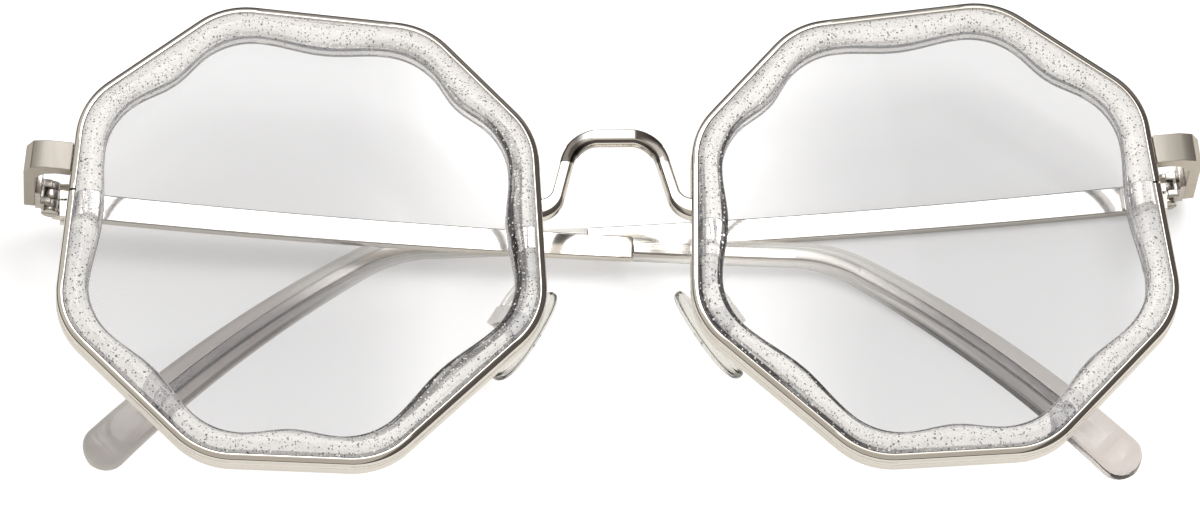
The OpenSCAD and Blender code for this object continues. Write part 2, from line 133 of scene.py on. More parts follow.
class GlassesBridge(PropertyGroup):
    """Sizes of the arch between the rims."""

    arch_top: length("Arch top", "Height of the arch above the lens centres", 11.6)
    shoulder: length("Shoulder", "Radius of the shoulders of the arch", 3.5)
    shoulder_out: length("Shoulder place", "Distance of a shoulder's centre from the middle", 1.9)
    arch_width: length("Arch width", "Width of the arch seen from the front", 1.65)
    leg_width: length("Leg width", "Width of its legs", 1.5)
    leg_lean: angle("Leg lean", "Lean of the legs to the upright", 15)
    leg_length: length("Leg length", "Length of the straight part of a leg", 4.2)
    foot: length("Foot", "Radius of the curve that leads a leg into its rim", 2.4)
    foot_width: length("Foot width", "Width of the foot at the rim", 2.4)
    depth: length("Depth", "Depth of the bar from front to back", 1.6)
    lift: length("Lift", "How far the middle stands in front of the feet", 0.5)
    flat: length("Flat", "Half the length of the flat middle", 2.2)
    fall: length("Fall", "Length over which the shoulders fall back", 3.1)


class GlassesHinges(PropertyGroup):
    """Places of the two hinges and the lean of their axes."""

    across: length("Hinge across", "Distance of a hinge axis from the middle", 62.3)
    up: length("Hinge height", "Height of the hinges above the lens centres", 9.4)
    back: length("Hinge back", "Distance of the hinge axes behind the rims", 9.6)
    left_lean: angle("Left lean", "Lean of the left hinge axis", 7.1)
    right_lean: angle("Right lean", "Lean of the right hinge axis", 5.1)
    fold_gap: angle("Fold gap", "Angle between the front and the lower temple", 2.4)
    outer: length("Outer face", "Distance of a temple's outer face from its axis", 2.95)


class GlassesTemples(PropertyGroup):
    """Sizes of the temple bars, their core wires and their sleeves."""

    bar_length: length("Bar length", "Distance from the hinge axis to the sleeve", 65)
    bar_height: length("Bar height", "Height of the bar at the hinge", 3.2)
    bar_end_height: length("Bar end height", "Height of the bar at the sleeve", 2.7)
    bar_thickness: length("Bar thickness", "Thickness of the bar", 1.2)
    bar_edge: length("Bar edge", "Radius of the edges of the bar", 0.18)
    bar_drop: length("Bar drop", "Offset of the bar's middle line at the hinge", 0.15)
    bow: angle("Bow", "Upward curve of the temple before its bend", 4.7)
    bend_start: length("Bend start", "Distance from the hinge axis to the bend", 83)
    bend_radius: length("Bend radius", "Radius of the bend behind the ear", 15.5)
    bend: angle("Bend", "Angle of the bend behind the ear", 29)
    tail_turn: angle("Tail turn", "Further turn between the bend and the tip", 15)
    tail: length("Tail", "Length of the tail behind the bend", 36)
    core_width: length("Core width", "Width of the wire inside the sleeve", 1.3)
    core_thickness: length("Core thickness", "Thickness of that wire", 0.8)
    core_lift: length("Core lift", "Distance of the wire from the sleeve's outer face", 0.2)
    core_end: length("Core end", "Distance of the wire's end from the hinge axis", 121)
    sleeve_thickness: length("Sleeve thickness", "Thickness of the sleeve at the bar", 1.8)
    tip_thickness: length("Tip thickness", "Thickness of the sleeve at its tip", 2.2)
    tip_width: length("Tip width", "Width of the sleeve at its tip", 5.1)
    flare_start: share("Flare start", "Share of the sleeve before it widens", 0.3)


class GlassesPads(PropertyGroup):
    """Sizes of the nose pads and the wires that carry them."""

    centre: point("Centre", "Centre of the left pad in the front's frame", (-10.75, -8.7, -6.3))
    pad_length: length("Pad length", "Length of a pad", 12)
    pad_width: length("Pad width", "Width of a pad", 7)
    pad_thickness: length("Pad thickness", "Thickness of a pad", 1.9)
    frontal: angle("Frontal angle", "Angle of a pad's long axis to the upright", 32)
    splay: angle("Splay angle", "Angle of a pad's face to straight back", 28)
    wire: length("Wire", "Radius of the pad arm", 0.45)
    lug_end: length("Lug end", "Reach of the lug behind the pad", 2.55)
    lug_half_height: length("Lug half height", "Half the height of the lug", 0.65)
    lug_half_depth: length("Lug half depth", "Half the depth of the lug", 0.8)
    screw_back: length("Screw place", "Distance of the screw behind the pad", 1.7)
    screw_radius: length("Screw radius", "Radius of the hole for the screw", 0.5)
    box_back: length("Box back", "Distance of the box's back wall behind the pad", 3.35)


class GlassesGlitter(PropertyGroup):
    """The glitter in the clear rings."""

    count: IntProperty(name="Flakes", description="Number of flakes in one ring", default=2600, min=0)
    smallest: length("Smallest", "Half width of the smallest flakes", 0.035)
    largest: length("Largest", "Half width of the largest flakes", 0.085)
    thickness: length("Thickness", "Thickness of a flake", 0.02)
    seed: IntProperty(name="Seed", description="Seed of the scatter", default=11, min=0)


class GlassesFinishes(PropertyGroup):
    """Colours of the metal and of the clear plastics."""

    metal: colour("Metal", "Warm silver of the polished metal", (0.95, 0.925, 0.895))
    steel: colour("Steel", "Grey of the hinges and screws", (0.62, 0.59, 0.56))
    acetate: colour("Acetate", "Tint of the clear rings", (0.93, 0.925, 0.935))
    # Colour of the painted dark reflections along the edges of the clear rings.
    shade: colour("Shade", "Dark lines at the edges of the clear rings", (0.02, 0.019, 0.021))
    lens: colour("Lens", "Tint of the lenses", (0.16, 0.16, 0.17))
    # The left tail and tip are darker than the right ones: painted shade.
    sleeve: colour("Sleeve", "Smoky grey of the left tail", (0.32, 0.285, 0.29))
    sleeve_right: colour("Right sleeve", "Lighter grey of the right tail", (0.86, 0.84, 0.85))
    sleeve_pale: colour("Pale sleeve", "Colour of the sleeves near the bars", (0.97, 0.98, 0.995))
    sleeve_tip: colour("Sleeve tip", "Colour of the broad left tip", (0.13, 0.112, 0.116))
    tip_right: colour("Right tip", "Colour of the broad right tip", (0.70, 0.65, 0.66))
    satin: colour("Satin", "Warm grey of the end pieces", (0.72, 0.68, 0.62))
    pad: colour("Pad", "Pale grey of the nose pads", (0.92, 0.93, 0.92))
    flake: colour("Flake", "Darker flakes of the glitter", (0.05, 0.045, 0.055))


class GlassesStage(PropertyGroup):
    """The floor, the light and the camera."""

    target: point("Target", "Point of the front that the view is built on", (0.455, 0.041, 15.175))
    yaw: angle("Yaw", "Turn of the camera about the upright", -1.018)
    elevation: angle("Elevation", "Height of the camera above the table", 66.662)
    roll: angle("Roll", "Turn of the picture", 1.344)
    distance: length("Distance", "Distance of the camera from the target", 1079.09)
    shift_across: length("Shift across", "Move of the camera to the right of the target", 1.902)
    shift_up: length("Shift up", "Move of the camera above the target", 2.064)
    focal: FloatProperty(name="Focal length", description="In pixels of the picture", default=9779.49)
    lamp_place: point("Lamp", "Place of the soft lamp", (360, 300, 1000))
    lamp_size: length("Lamp size", "Side of the soft lamp", 450)
    lamp_power: power("Lamp power", "Power of the soft lamp", 4.6)
    panel_place: point("Panel", "Place of the panel that the metal reflects", (-110, 560, 1000))
    panel_size: length("Panel size", "Side of that panel", 500)
    panel_power: power("Panel power", "Power of that panel", 1.8)
    ambient: share("Ambient", "Strength of the light from all round", 0.66)
    floor_size: length("Floor size", "Side of the floor", 6000)


def maths(operation, reflected=False):
    """Method for an operator between signals and numbers, which adds one Math node."""
    def method(self, other):
        values = (other, self) if reflected else (self, other)
        return self.tree.add("ShaderNodeMath", {"operation": operation}, dict(enumerate(values)))

    return method


class Signal:
    """Output of a node, which takes part in expressions."""

    def __init__(self, tree, socket):
        self.tree = tree
        self.socket = socket

    __add__, __radd__ = maths("ADD"), maths("ADD", reflected=True)
    __sub__, __rsub__ = maths("SUBTRACT"), maths("SUBTRACT", reflected=True)
    __mul__, __rmul__ = maths("MULTIPLY"), maths("MULTIPLY", reflected=True)
    __truediv__ = maths("DIVIDE")

    def __abs__(self):
        return self.tree.add("ShaderNodeMath", {"operation": "ABSOLUTE"}, {0: self})


class Finish:
    """Node tree of one material, lamp or world, filled from empty."""

    def __init__(self, owner):
        owner.use_nodes = True
        self.owner = owner
        self.tree = owner.node_tree
        self.tree.nodes.clear()

    def add(self, kind, settings=None, inputs=None, output=0):
        """New node: its settings are set first, then the values or links of its sockets."""
        node = self.tree.nodes.new(kind)
        for name, value in (settings or {}).items():
            if name == "stops":
                ramp = node.color_ramp
                while len(ramp.elements) < len(value):
                    ramp.elements.new(1)
                for element, (place, tint) in zip(ramp.elements, value):
                    element.position = place
                    element.color = tint
            else:
                setattr(node, name, value)
        for name, value in (inputs or {}).items():
            if isinstance(value, Signal):
                self.tree.links.new(value.socket, node.inputs[name])
            else:
                node.inputs[name].default_value = value
        return Signal(self, node.outputs[output]) if node.outputs else None

    def place(self):
        """Point of the surface, in the space of its piece."""
        return self.add("ShaderNodeTexCoord", output="Object")

    def parts(self, vector):
        """The three numbers of a vector."""
        first = self.add("ShaderNodeSeparateXYZ", None, {0: vector})
        return [Signal(self, first.socket.node.outputs[k]) for k in range(3)]

    def mixed(self, mask, first, second):
        """Colour between two others."""
        return self.add(
            "ShaderNodeMix", {"data_type": "RGBA"},
            {0: mask, 6: opaque(first), 7: opaque(second)}, output=2,
        )

    def stepped(self, value, low, high, start=0.0, end=1.0):
        """Smooth step of a value, from start at low to end at high."""
        return self.add(
            "ShaderNodeMapRange", {"interpolation_type": "SMOOTHSTEP"},
            {0: value, 1: low, 2: high, 3: start, 4: end},
        )

    def noise(self, scale, detail=2.0, roughness=0.5, stretch=(1, 1, 1)):
        """Soft noise over the piece, scale in features to the metre."""
        spread = self.add("ShaderNodeMapping", None, {"Vector": self.place(), "Scale": stretch})
        return self.add(
            "ShaderNodeTexNoise", None,
            {"Vector": spread, "Scale": scale, "Detail": detail, "Roughness": roughness},
        )

    def marks(self, name):
        """The three numbers that a mesh carries at its points."""
        return self.add("ShaderNodeAttribute", {"attribute_name": name}, output="Vector")

    def band(self, value, low, high, soft):
        """One between two values, nought outside them."""
        return self.stepped(value, low - soft, low) * (1 - self.stepped(value, high, high + soft))

    def edges(self, low, high):
        """One where a clear piece is seen along its surface."""
        return self.stepped(self.add("ShaderNodeLayerWeight", output="Facing"), low, high)

    def ray(self, kind):
        """One where the surface is met by a ray of that kind."""
        return self.add("ShaderNodeLightPath", output=f"Is {kind} Ray")

    def painted_edge_reflection(self):
        """One on the rounded edges that look both up the front and out of it, where a dark reflection is
        painted.
        """
        _, y, z = self.parts(self.add("ShaderNodeTexCoord", output="Normal"))
        return self.stepped(y, 0.3, 0.5) * self.stepped(z, 0.2, 0.4)

    def specks(self, spacing, radius):
        """Round spots scattered through the piece, with a chance number for each."""
        cell = self.add("ShaderNodeTexVoronoi", None, {"Vector": self.place(), "Scale": 1 / spacing})
        spot = self.stepped(cell, 1.2 * radius / spacing, 0.8 * radius / spacing)
        return spot, self.parts(Signal(self, cell.socket.node.outputs["Color"]))[0]

    def bump(self, height, strength, distance):
        return self.add(
            "ShaderNodeBump", None, {"Height": height, "Strength": strength, "Distance": distance}
        )

    def principled(self, **inputs):
        return self.add(
            "ShaderNodeBsdfPrincipled", None, {k.replace("_", " "): v for k, v in inputs.items()}
        )

    def surface(self, shader):
        kind = "World" if isinstance(self.owner, bpy.types.World) else "Material"
        self.add(f"ShaderNodeOutput{kind}", None, {"Surface": shader})
        return self.owner

    def grained(self, tint, grain, roughness, relief, **more):
        """Surface whose roughness, from low to spread, and relief, strength and depth, follow a grain."""
        low, spread = roughness
        strength, depth = relief
        return self.surface(self.principled(
            Base_Color=tint, Roughness=low + spread * grain,
            Normal=self.bump(grain, strength, depth * MM), **more,
        ))


def opaque(tint):
    """Colour with its alpha; links pass through."""
    return tint if isinstance(tint, Signal) else (*tint[:3], 1.0)


def material(name):
    """Empty finish with a name of its own; the frame's materials have the bare names."""
    return Finish(bpy.data.materials.new(f"{name}_finish"))


def chosen(name):
    """The values of one of the groups in the sidebar."""
    return getattr(bpy.context.scene, f"glasses_{name}")


def tints():
    return chosen("finishes")


def dimmed(tint, factor):
    return [factor * c for c in tint]


WHITE = (1, 1, 1)
# Dark colour of the painted reflections on the metal's upper edges and on the bridge's left shoulder.
EDGE_SHADE = (0.07, 0.063, 0.057)
# Clouded dark colours of the painted reflection on the bridge's right shoulder.
SHOULDER_REFLECTION_DARK = (0.2, 0.18, 0.165)
SHOULDER_REFLECTION_PALE = (0.36, 0.335, 0.31)
CORE_DARK = (0.3, 0.295, 0.295)
CORE_PALE = (0.5, 0.49, 0.49)
JOINT_SHADE = (0.3, 0.275, 0.28)
# Dark colours painted as reflection where the sleeves and pads are seen along their surface.
SLEEVE_EDGE_REFLECTION = (0.08, 0.072, 0.07)
PAD_EDGE_REFLECTION = (0.16, 0.16, 0.15)
SILVER_FLAKE = (1, 0.99, 1)


def polished_metal(finish):
    """Warm silver plating with faint wiping marks, and a painted dark reflection on its upper edges."""
    metal = tints().metal
    wiping = finish.noise(900, 2, 0.6, (0.15, 1, 1))
    plating = finish.mixed(finish.noise(120, 3), dimmed(metal, 0.94), metal)
    # Painted dark reflection along the upper edges.
    tint = finish.mixed(finish.painted_edge_reflection(), plating, EDGE_SHADE)
    return finish.grained(tint, wiping, (0.05, 0.07), (0.06, 0.02), Metallic=1.0)


def arch_metal(finish):
    """Polished metal of the bridge, with painted dark reflections on its shoulders above the legs."""
    x, y, _ = finish.parts(finish.place())
    middle = place_front().translation.x
    right = finish.stepped(x, middle + 2.1 * MM, middle + 4.4 * MM)
    left = finish.stepped(x, middle - 1.9 * MM, middle - 4.3 * MM)
    above = finish.stepped(y, 8.5 * MM, 8.8 * MM)
    cloud = finish.noise(900, 3, 0.6)
    # Painted dark reflection, clouded, on the right shoulder above the leg.
    body = finish.mixed(0.85 * right * above, tints().metal, finish.mixed(cloud, SHOULDER_REFLECTION_DARK, SHOULDER_REFLECTION_PALE))
    # Painted dark reflection on the left shoulder above the leg.
    body = finish.mixed(left * above, body, EDGE_SHADE)
    return finish.surface(finish.principled(
        Base_Color=finish.mixed(finish.painted_edge_reflection(), body, EDGE_SHADE),
        Metallic=1.0,
        Roughness=0.06 + 0.06 * cloud,
    ))


def core_metal(finish):
    """Metal of the core wires, dull grey where the sleeves are smoky."""
    dull = finish.stepped(abs(finish.parts(finish.place())[0]), 24 * MM, 40 * MM)
    cloud = finish.noise(300, 3, 0.6, (0.3, 1, 1))
    return finish.surface(finish.principled(
        Base_Color=finish.mixed(dull, tints().metal, finish.mixed(cloud, CORE_DARK, CORE_PALE)),
        Metallic=1.0,
        Roughness=0.12 + 0.1 * cloud,
    ))


def satin_metal(finish):
    """Softly brushed warm metal of the end pieces, with painted shade that makes the left one a little
    darker.
    """
    satin = tints().satin
    brushing = finish.noise(1500, 3, 0.6, (1, 0.12, 1))
    # Painted shade: the left end piece is darkened.
    left = finish.stepped(finish.parts(finish.place())[0], 20 * MM, -20 * MM)
    body = finish.mixed(left, satin, dimmed(satin, 0.78))
    tint = finish.mixed(0.3 * brushing, body, dimmed(satin, 0.6))
    return finish.grained(tint, brushing, (0.4, 0.1), (0.08, 0.01), Metallic=1.0)


def frosted_metal(finish):
    """Pale frosted metal of the pad arms, their boxes and screws."""
    metal = tints().metal
    grain = finish.noise(4200, 3)
    tint = finish.mixed(grain, dimmed(metal, 0.96), metal)
    return finish.grained(tint, grain, (0.35, 0.1), (0.1, 0.01), Metallic=0.3)


def hinge_steel(finish):
    """Turned steel of the hinges."""
    turning = finish.noise(2600, 2, 0.5, (1, 0.1, 1))
    tint = finish.mixed(turning, dimmed(tints().steel, 0.75), tints().metal)
    return finish.grained(tint, turning, (0.14, 0.16), (0.15, 0.01), Metallic=1.0)


def screw_steel(finish):
    """Plain steel of the screws, with a fine grain."""
    grain = finish.noise(5200, 3)
    tint = finish.mixed(grain, dimmed(tints().steel, 0.8), tints().metal)
    return finish.grained(tint, grain, (0.16, 0.14), (0.2, 0.01), Metallic=1.0)


def clear_acetate(finish):
    """Clear plastic of the rings: fine specks, a painted highlight along the crown, and painted dark
    reflections as lines along its edges and streaky bands near the nose.
    """
    x, y, _ = finish.parts(finish.place())
    way = finish.marks("ring_way")
    _, across, height = finish.parts(way)
    cloud = finish.stepped(finish.noise(260, 4, 0.6), 0.35, 0.7)
    ripple = finish.noise(420, 2)
    stretched = finish.add("ShaderNodeMapping", None, {"Vector": way, "Scale": (0.12, 3 * MM, 1)})
    streak = finish.add("ShaderNodeTexNoise", None, {"Vector": stretched, "Scale": 1500.0, "Detail": 3.0})
    uneven = finish.stepped(streak, 0.3, 0.6)

    nose = finish.stepped(abs(x), 38 * MM, 18 * MM) * finish.stepped(y, 18 * MM, 6 * MM, 0.3, 1.0)
    right = finish.stepped(x, -2 * MM, 2 * MM, 0.3, 1.0)
    lower = finish.stepped(y, 6 * MM, -14 * MM)
    top = finish.stepped(height, 0.3 * MM, 0.75 * MM)
    turned = across + 0.3 * nose * finish.stepped(x, 2 * MM, -2 * MM)

    # Painted dark reflections: thin lines along the edges, stronger lower down, and bands on the lens and
    # rim sides near the nose.
    thin = finish.band(across, 0.87, 0.94, 0.03) * (0.4 + 0.3 * nose + 0.4 * lower) * (0.4 + 0.6 * uneven)
    second = finish.band(across, 0.76, 0.86, 0.03) * (0.12 + 0.3 * lower) * uneven
    lens_side = finish.band(turned, 0.78, 1.2, 0.06) * nose * (0.4 + 0.5 * uneven)
    rim_side = finish.band(across, 0.03, 0.2, 0.06) * nose * right * (0.25 + 0.5 * uneven)
    beside = finish.band(across, 0.02, 0.09, 0.04) * (0.2 + 0.4 * lower)
    lines = (thin + second + lens_side + rim_side + beside) * top
    # Painted highlight: a white stripe along the crown.
    painted_highlight = finish.band(turned, 0.44, 0.7, 0.08) * (0.6 + 0.4 * nose) * top

    small, chance = finish.specks(0.36 * MM, 0.095 * MM)
    large, luck = finish.specks(0.75 * MM, 0.135 * MM)
    dark = small * finish.stepped(chance, 0.52, 0.54) + large * finish.stepped(luck, 0.56, 0.58)
    pale = small * finish.stepped(chance, 0.42, 0.4) + large * finish.stepped(luck, 0.5, 0.48)

    body = finish.mixed(cloud, tints().acetate, dimmed(tints().acetate, 0.93))
    body = finish.mixed(0.9 * painted_highlight, body, WHITE)
    body = finish.mixed(lines, body, tints().shade)
    body = finish.mixed(0.9 * dark * top, body, tints().flake)
    body = finish.mixed(pale * top, body, WHITE)
    return finish.surface(finish.principled(
        Base_Color=body,
        Transmission_Weight=0.8,
        IOR=1.3,
        Roughness=0.02 + 0.02 * cloud,
        Normal=finish.bump(ripple, 0.04, 0.05 * MM),
    ))


def lens_tint(finish):
    """Nearly clear lens with a grey tint that fades towards the lower edge, and towards the nose as a
    painted highlight.
    """
    tint = tints().lens
    x, y, _ = finish.parts(finish.place())
    lower = finish.stepped(y, 24 * MM, -20 * MM)
    outer = finish.stepped(abs(x), 11 * MM, 30 * MM)
    haze = finish.noise(45, 2)
    return finish.surface(finish.principled(
        Base_Color=finish.mixed(haze, tint, dimmed(tint, 0.9)),
        Roughness=0.04,
        # The tint thins towards the nose: a painted highlight.
        Alpha=(0.195 - 0.035 * lower) * (0.15 + 0.85 * outer) + 0.008 * haze,
    ))


# Painted reflections across a sleeve: dark edges and bands, and a white line over the core wire's ridge.
SLEEVE_REFLECTION_BANDS = [
    (0.0, 0.12), (0.04, 0.2), (0.07, 1.0), (0.22, 0.95), (0.27, 0.6), (0.42, 0.65), (0.575, 0.6),
    (0.59, 1.0), (0.61, 1.0), (0.63, 0.8), (0.94, 0.85), (0.965, 0.5), (1.0, 0.35),
]


def sleeve_plastic(finish):
    """Smoky clear plastic around the core wires, pale near the bars, with bands along the wire; painted
    shade darkens the left sleeve and the joint, the bands and dark edges are painted reflections, and the
    fading near the bars is a painted highlight.
    """
    c = tints()
    x = finish.parts(finish.place())[0]
    along, across, upper = finish.parts(finish.marks("sleeve_way"))
    streaks = finish.noise(260, 3, 0.5, (0.2, 1, 1))
    smoke = finish.stepped(along, 0.3, 0.6)
    tip = finish.stepped(along, 0.82, 0.93)
    # Painted shade: the left sleeve is darker than the right one.
    right = finish.stepped(x, -25 * MM, 25 * MM)
    tail = finish.mixed(right, c.sleeve, c.sleeve_right)
    end = finish.mixed(right, c.sleeve_tip, c.tip_right)
    tint = finish.mixed(smoke, c.sleeve_pale, finish.mixed(tip, tail, end))
    tint = finish.mixed(0.25 * streaks, tint, WHITE)

    # Painted shade: dark bands along the sleeve where it leaves the bar.
    joint = finish.stepped(along, 0.16, 0.06) * finish.stepped(x, 0.0, 2 * MM) * upper
    lower_line = 0.8 * finish.band(across, -0.9, -0.35, 0.06)
    upper_line = 0.7 * finish.band(across, 0.84, 0.97, 0.04)
    joint = joint * (lower_line + upper_line)
    tint = finish.mixed(joint, tint, JOINT_SHADE)

    # Painted reflection bands, shown on the upper side.
    stops = [(place, (v, 0.985 * v, 0.975 * v, 1)) for place, v in SLEEVE_REFLECTION_BANDS]
    bands = finish.add("ShaderNodeValToRGB", {"stops": stops}, {0: 0.5 + 0.5 * across})
    shown = upper * (0.15 + 0.75 * smoke) * (1 - tip)
    lined = finish.add(
        "ShaderNodeMix", {"data_type": "RGBA", "blend_type": "MULTIPLY"},
        {0: shown, 6: tint, 7: bands}, output=2,
    )
    # Painted dark reflection where the sleeve is seen along its surface.
    edge = finish.edges(0.72, 0.98) * (0.15 + 0.6 * smoke)
    return finish.grained(
        finish.mixed(edge, lined, SLEEVE_EDGE_REFLECTION), streaks, (0.03, 0.03), (0.06, 0.03),
        # Alpha thins near the bars: a painted highlight; the joint's painted shade is made more solid.
        Transmission_Weight=1.0, IOR=1.47, Alpha=0.45 + 0.55 * smoke + 0.5 * joint,
    )


def pad_plastic(finish):
    """Soft clear plastic of the nose pads, with a painted dark reflection at their grazing edges."""
    cloud = finish.noise(500, 3)
    body = finish.mixed(cloud, tints().pad, dimmed(tints().pad, 0.94))
    # Painted dark reflection at the grazing edges.
    tint = finish.mixed(0.5 * finish.edges(0.8, 1.0), body, PAD_EDGE_REFLECTION)
    return finish.grained(tint, cloud, (0.03, 0.04), (0.05, 0.04), Transmission_Weight=1.0, IOR=1.43)


def glitter_flakes(finish):
    """Silver and dark flakes, one tint to each."""
    chance = finish.add("ShaderNodeNewGeometry", output="Random Per Island")
    dark = finish.stepped(chance, 0.6, 0.66)
    return finish.surface(finish.principled(
        Base_Color=finish.mixed(dark, SILVER_FLAKE, tints().flake),
        Metallic=1.0 - dark,
        Roughness=0.35 + 0.2 * chance,
    ))


FINISHES = {
    make.__name__: make
    for make in (
        polished_metal, arch_metal, core_metal, satin_metal, frosted_metal, hinge_steel, screw_steel,
        clear_acetate, lens_tint, sleeve_plastic, pad_plastic, glitter_flakes,
    )
}


def finish_of(name):
    """Material of that name, made at its first use."""
    return bpy.data.materials.get(f"{name}_finish") or FINISHES[name](material(name))


def moved(x, y, z):
    return Matrix.Translation((x, y, z))


def mirrored(side):
    return Matrix.Diagonal((-1, 1, 1, 1)) if side == RIGHT else Matrix.Identity(4)


def place_front():
    """The front's frame: turned about the right hinge, so that it leans on the lower temple."""
    h = chosen("hinges")
    axis = Vector((-math.sin(h.right_lean), math.cos(h.right_lean), 0))
    return (
        moved(h.across, h.up, h.outer)
        @ Matrix.Rotation(h.fold_gap, 4, axis)
        @ moved(-h.across, -h.up, h.back)
    )


def at_temple(side):
    """A temple's frame: x along it, y along the hinge's axis, z towards the front."""
    h = chosen("hinges")
    if side == LEFT:
        place = place_front() @ moved(-h.across, h.up, -h.back)
        return place @ Matrix.Rotation(-h.left_lean, 4, "Z")
    place = moved(0, 0, h.outer) @ mirrored(RIGHT) @ moved(-h.across, h.up, 0)
    return place @ Matrix.Rotation(-h.right_lean, 4, "Z")


def at_lens(side):
    f = chosen("front")
    return place_front() @ mirrored(side) @ moved(-f.lens_spacing / 2, 0, 0)


def pad_frame():
    """The left pad's frame within the front's."""
    p = chosen("pads")
    return (
        Matrix.Translation(p.centre) @ Matrix.Rotation(-p.frontal, 4, "Z")
        @ Matrix.Rotation(p.splay, 4, "Y")
    )


def at_pad(side):
    return place_front() @ mirrored(side) @ pad_frame()


def skin(rings, closed=False):
    """Points and faces of a solid through rings of points, closed into a loop or with two end faces."""
    count, around = len(rings), len(rings[0])
    faces = []
    for i in range(count if closed else count - 1):
        a = i * around
        b = ((i + 1) % count) * around
        for j in range(around):
            k = (j + 1) % around
            faces.append((a + j, a + k, b + k, b + j))
    if not closed:
        faces.append(tuple(range(around - 1, -1, -1)))
        faces.append(tuple((count - 1) * around + j for j in range(around)))
    return [p for ring in rings for p in ring], faces


def joined(*solids):
    """Several solids as one list of points and faces."""
    points, faces = [], []
    for some, sides in solids:
        base = len(points)
        points.extend(some)
        faces.extend(tuple(base + k for k in side) for side in sides)
    return points, faces


def new_object(name, data):
    thing = bpy.data.objects.new(name, data)
    bpy.context.scene.collection.objects.link(thing)
    return thing


def new_mesh(name, points, faces, matrix):
    """Object with a mesh in the row frame, its faces turned outwards."""
    mesh = bpy.data.meshes.new(name)
    mesh.from_pydata([matrix @ Vector(p) for p in points], [], faces)
    shape = bmesh.new()
    shape.from_mesh(mesh)
    bmesh.ops.recalc_face_normals(shape, faces=shape.faces)
    shape.to_mesh(mesh)
    shape.free()
    return new_object(name, mesh)


def smoothed(thing, sharp):
    """Smooth shading, with edges kept sharp above an angle in degrees."""
    mesh = thing.data
    mesh.polygons.foreach_set("use_smooth", [True] * len(mesh.polygons))
    mesh.set_sharp_from_angle(angle=math.radians(sharp))
    return thing


def marked(thing, name, values):
    """Gives each point of a piece three numbers that its finish reads."""
    marks = thing.data.attributes.new(name, "FLOAT_VECTOR", "POINT")
    marks.data.foreach_set("vector", [n for value in values for n in value])
    return thing


LIGHT_PASSES = ("clear_acetate", "glitter_flakes", "sleeve_plastic", "pad_plastic")


def dressed(thing, finish, node=None, body=None):
    """Gives a piece its finish and its body, and lets it stand for a node."""
    thing.data.materials.clear()
    thing.data.materials.append(finish_of(finish))
    thing.visible_shadow = thing.visible_diffuse = finish not in LIGHT_PASSES
    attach(thing, body or BODY_OF[node])
    if node:
        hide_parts(node)


def baked(thing):
    """Applies the modifiers of a piece to its mesh."""
    bpy.context.view_layer.update()
    graph = bpy.context.evaluated_depsgraph_get()
    mesh = bpy.data.meshes.new_from_object(thing.evaluated_get(graph), depsgraph=graph)
    thing.modifiers.clear()
    old = thing.data
    thing.data = mesh
    bpy.data.meshes.remove(old)
    return thing


def flat_faced(thing):
    """Keeps the broad faces of a smooth piece flat in the light, so that only its edges turn."""
    even = thing.modifiers.new("normals", "WEIGHTED_NORMAL")
    even.keep_sharp = True
    return baked(thing)


def bevelled(thing, width, segments, sharp=30):
    """Rounds the edges above an angle in degrees."""
    soft = thing.modifiers.new("edges", "BEVEL")
    soft.width = width
    soft.segments = segments
    soft.limit_method = "ANGLE"
    soft.angle_limit = math.radians(sharp)
    return baked(thing)


def cut_away(thing, cutter):
    """Takes a closed solid out of a piece."""
    cut = thing.modifiers.new("cut", "BOOLEAN")
    cut.operation = "DIFFERENCE"
    cut.solver = "EXACT"
    cut.object = cutter
    baked(thing)
    bpy.data.objects.remove(cutter)
    return thing


def block(low, high):
    """Points and faces of a box."""
    (x0, y0, z0), (x1, y1, z1) = low, high
    return skin([[(x0, y0, z), (x1, y0, z), (x1, y1, z), (x0, y1, z)] for z in (z0, z1)])


def heading(a):
    """Unit vector at an angle to the first axis."""
    return Vector((math.cos(a), math.sin(a)))


def circle(count):
    """Unit vectors all round."""
    return [heading(math.tau * k / count) for k in range(count)]


def along_line(line):
    """The points of a line, each with the line's direction there."""
    last = len(line) - 1
    return [(p, (line[min(k + 1, last)] - line[max(k - 1, 0)]).normalized()) for k, p in enumerate(line)]


def spline(points, steps):
    """Smooth curve through points, as more points."""
    found = []
    last = len(points) - 1
    for k in range(last):
        p0, p1, p2, p3 = (Vector(points[min(max(k + d, 0), last)]) for d in (-1, 0, 1, 2))
        for s in range(steps):
            t = s / steps
            found.append(0.5 * (
                2 * p1 + (p2 - p0) * t + (2 * p0 - 5 * p1 + 4 * p2 - p3) * t * t
                + (3 * p1 - p0 - 3 * p2 + p3) * t * t * t
            ))
    return found + [Vector(points[-1])]


def rounded_section(half, low, high, low_r, high_r, steps=4):
    """Cross-section with rounded corners, as pairs of a distance across and a height."""
    corners = [
        (half - low_r, low + low_r, low_r, -90),
        (half - high_r, high - high_r, high_r, 0),
        (-half + high_r, high - high_r, high_r, 90),
        (-half + low_r, low + low_r, low_r, 180),
    ]
    turns = [math.radians(90 * k / steps) for k in range(steps + 1)]
    return [
        (x + r * math.cos(math.radians(start) + turn), z + r * math.sin(math.radians(start) + turn))
        for x, z, r, start in corners for turn in turns
    ]


CORNER_ANGLES = (24.5, 60, 106, 146, 200, 246.5, 287.5, 339)
ARC_STEPS = 12
SIDE_STEPS = 16


def corner(i, radius):
    return radius * heading(math.radians(CORNER_ANGLES[i % 8]))


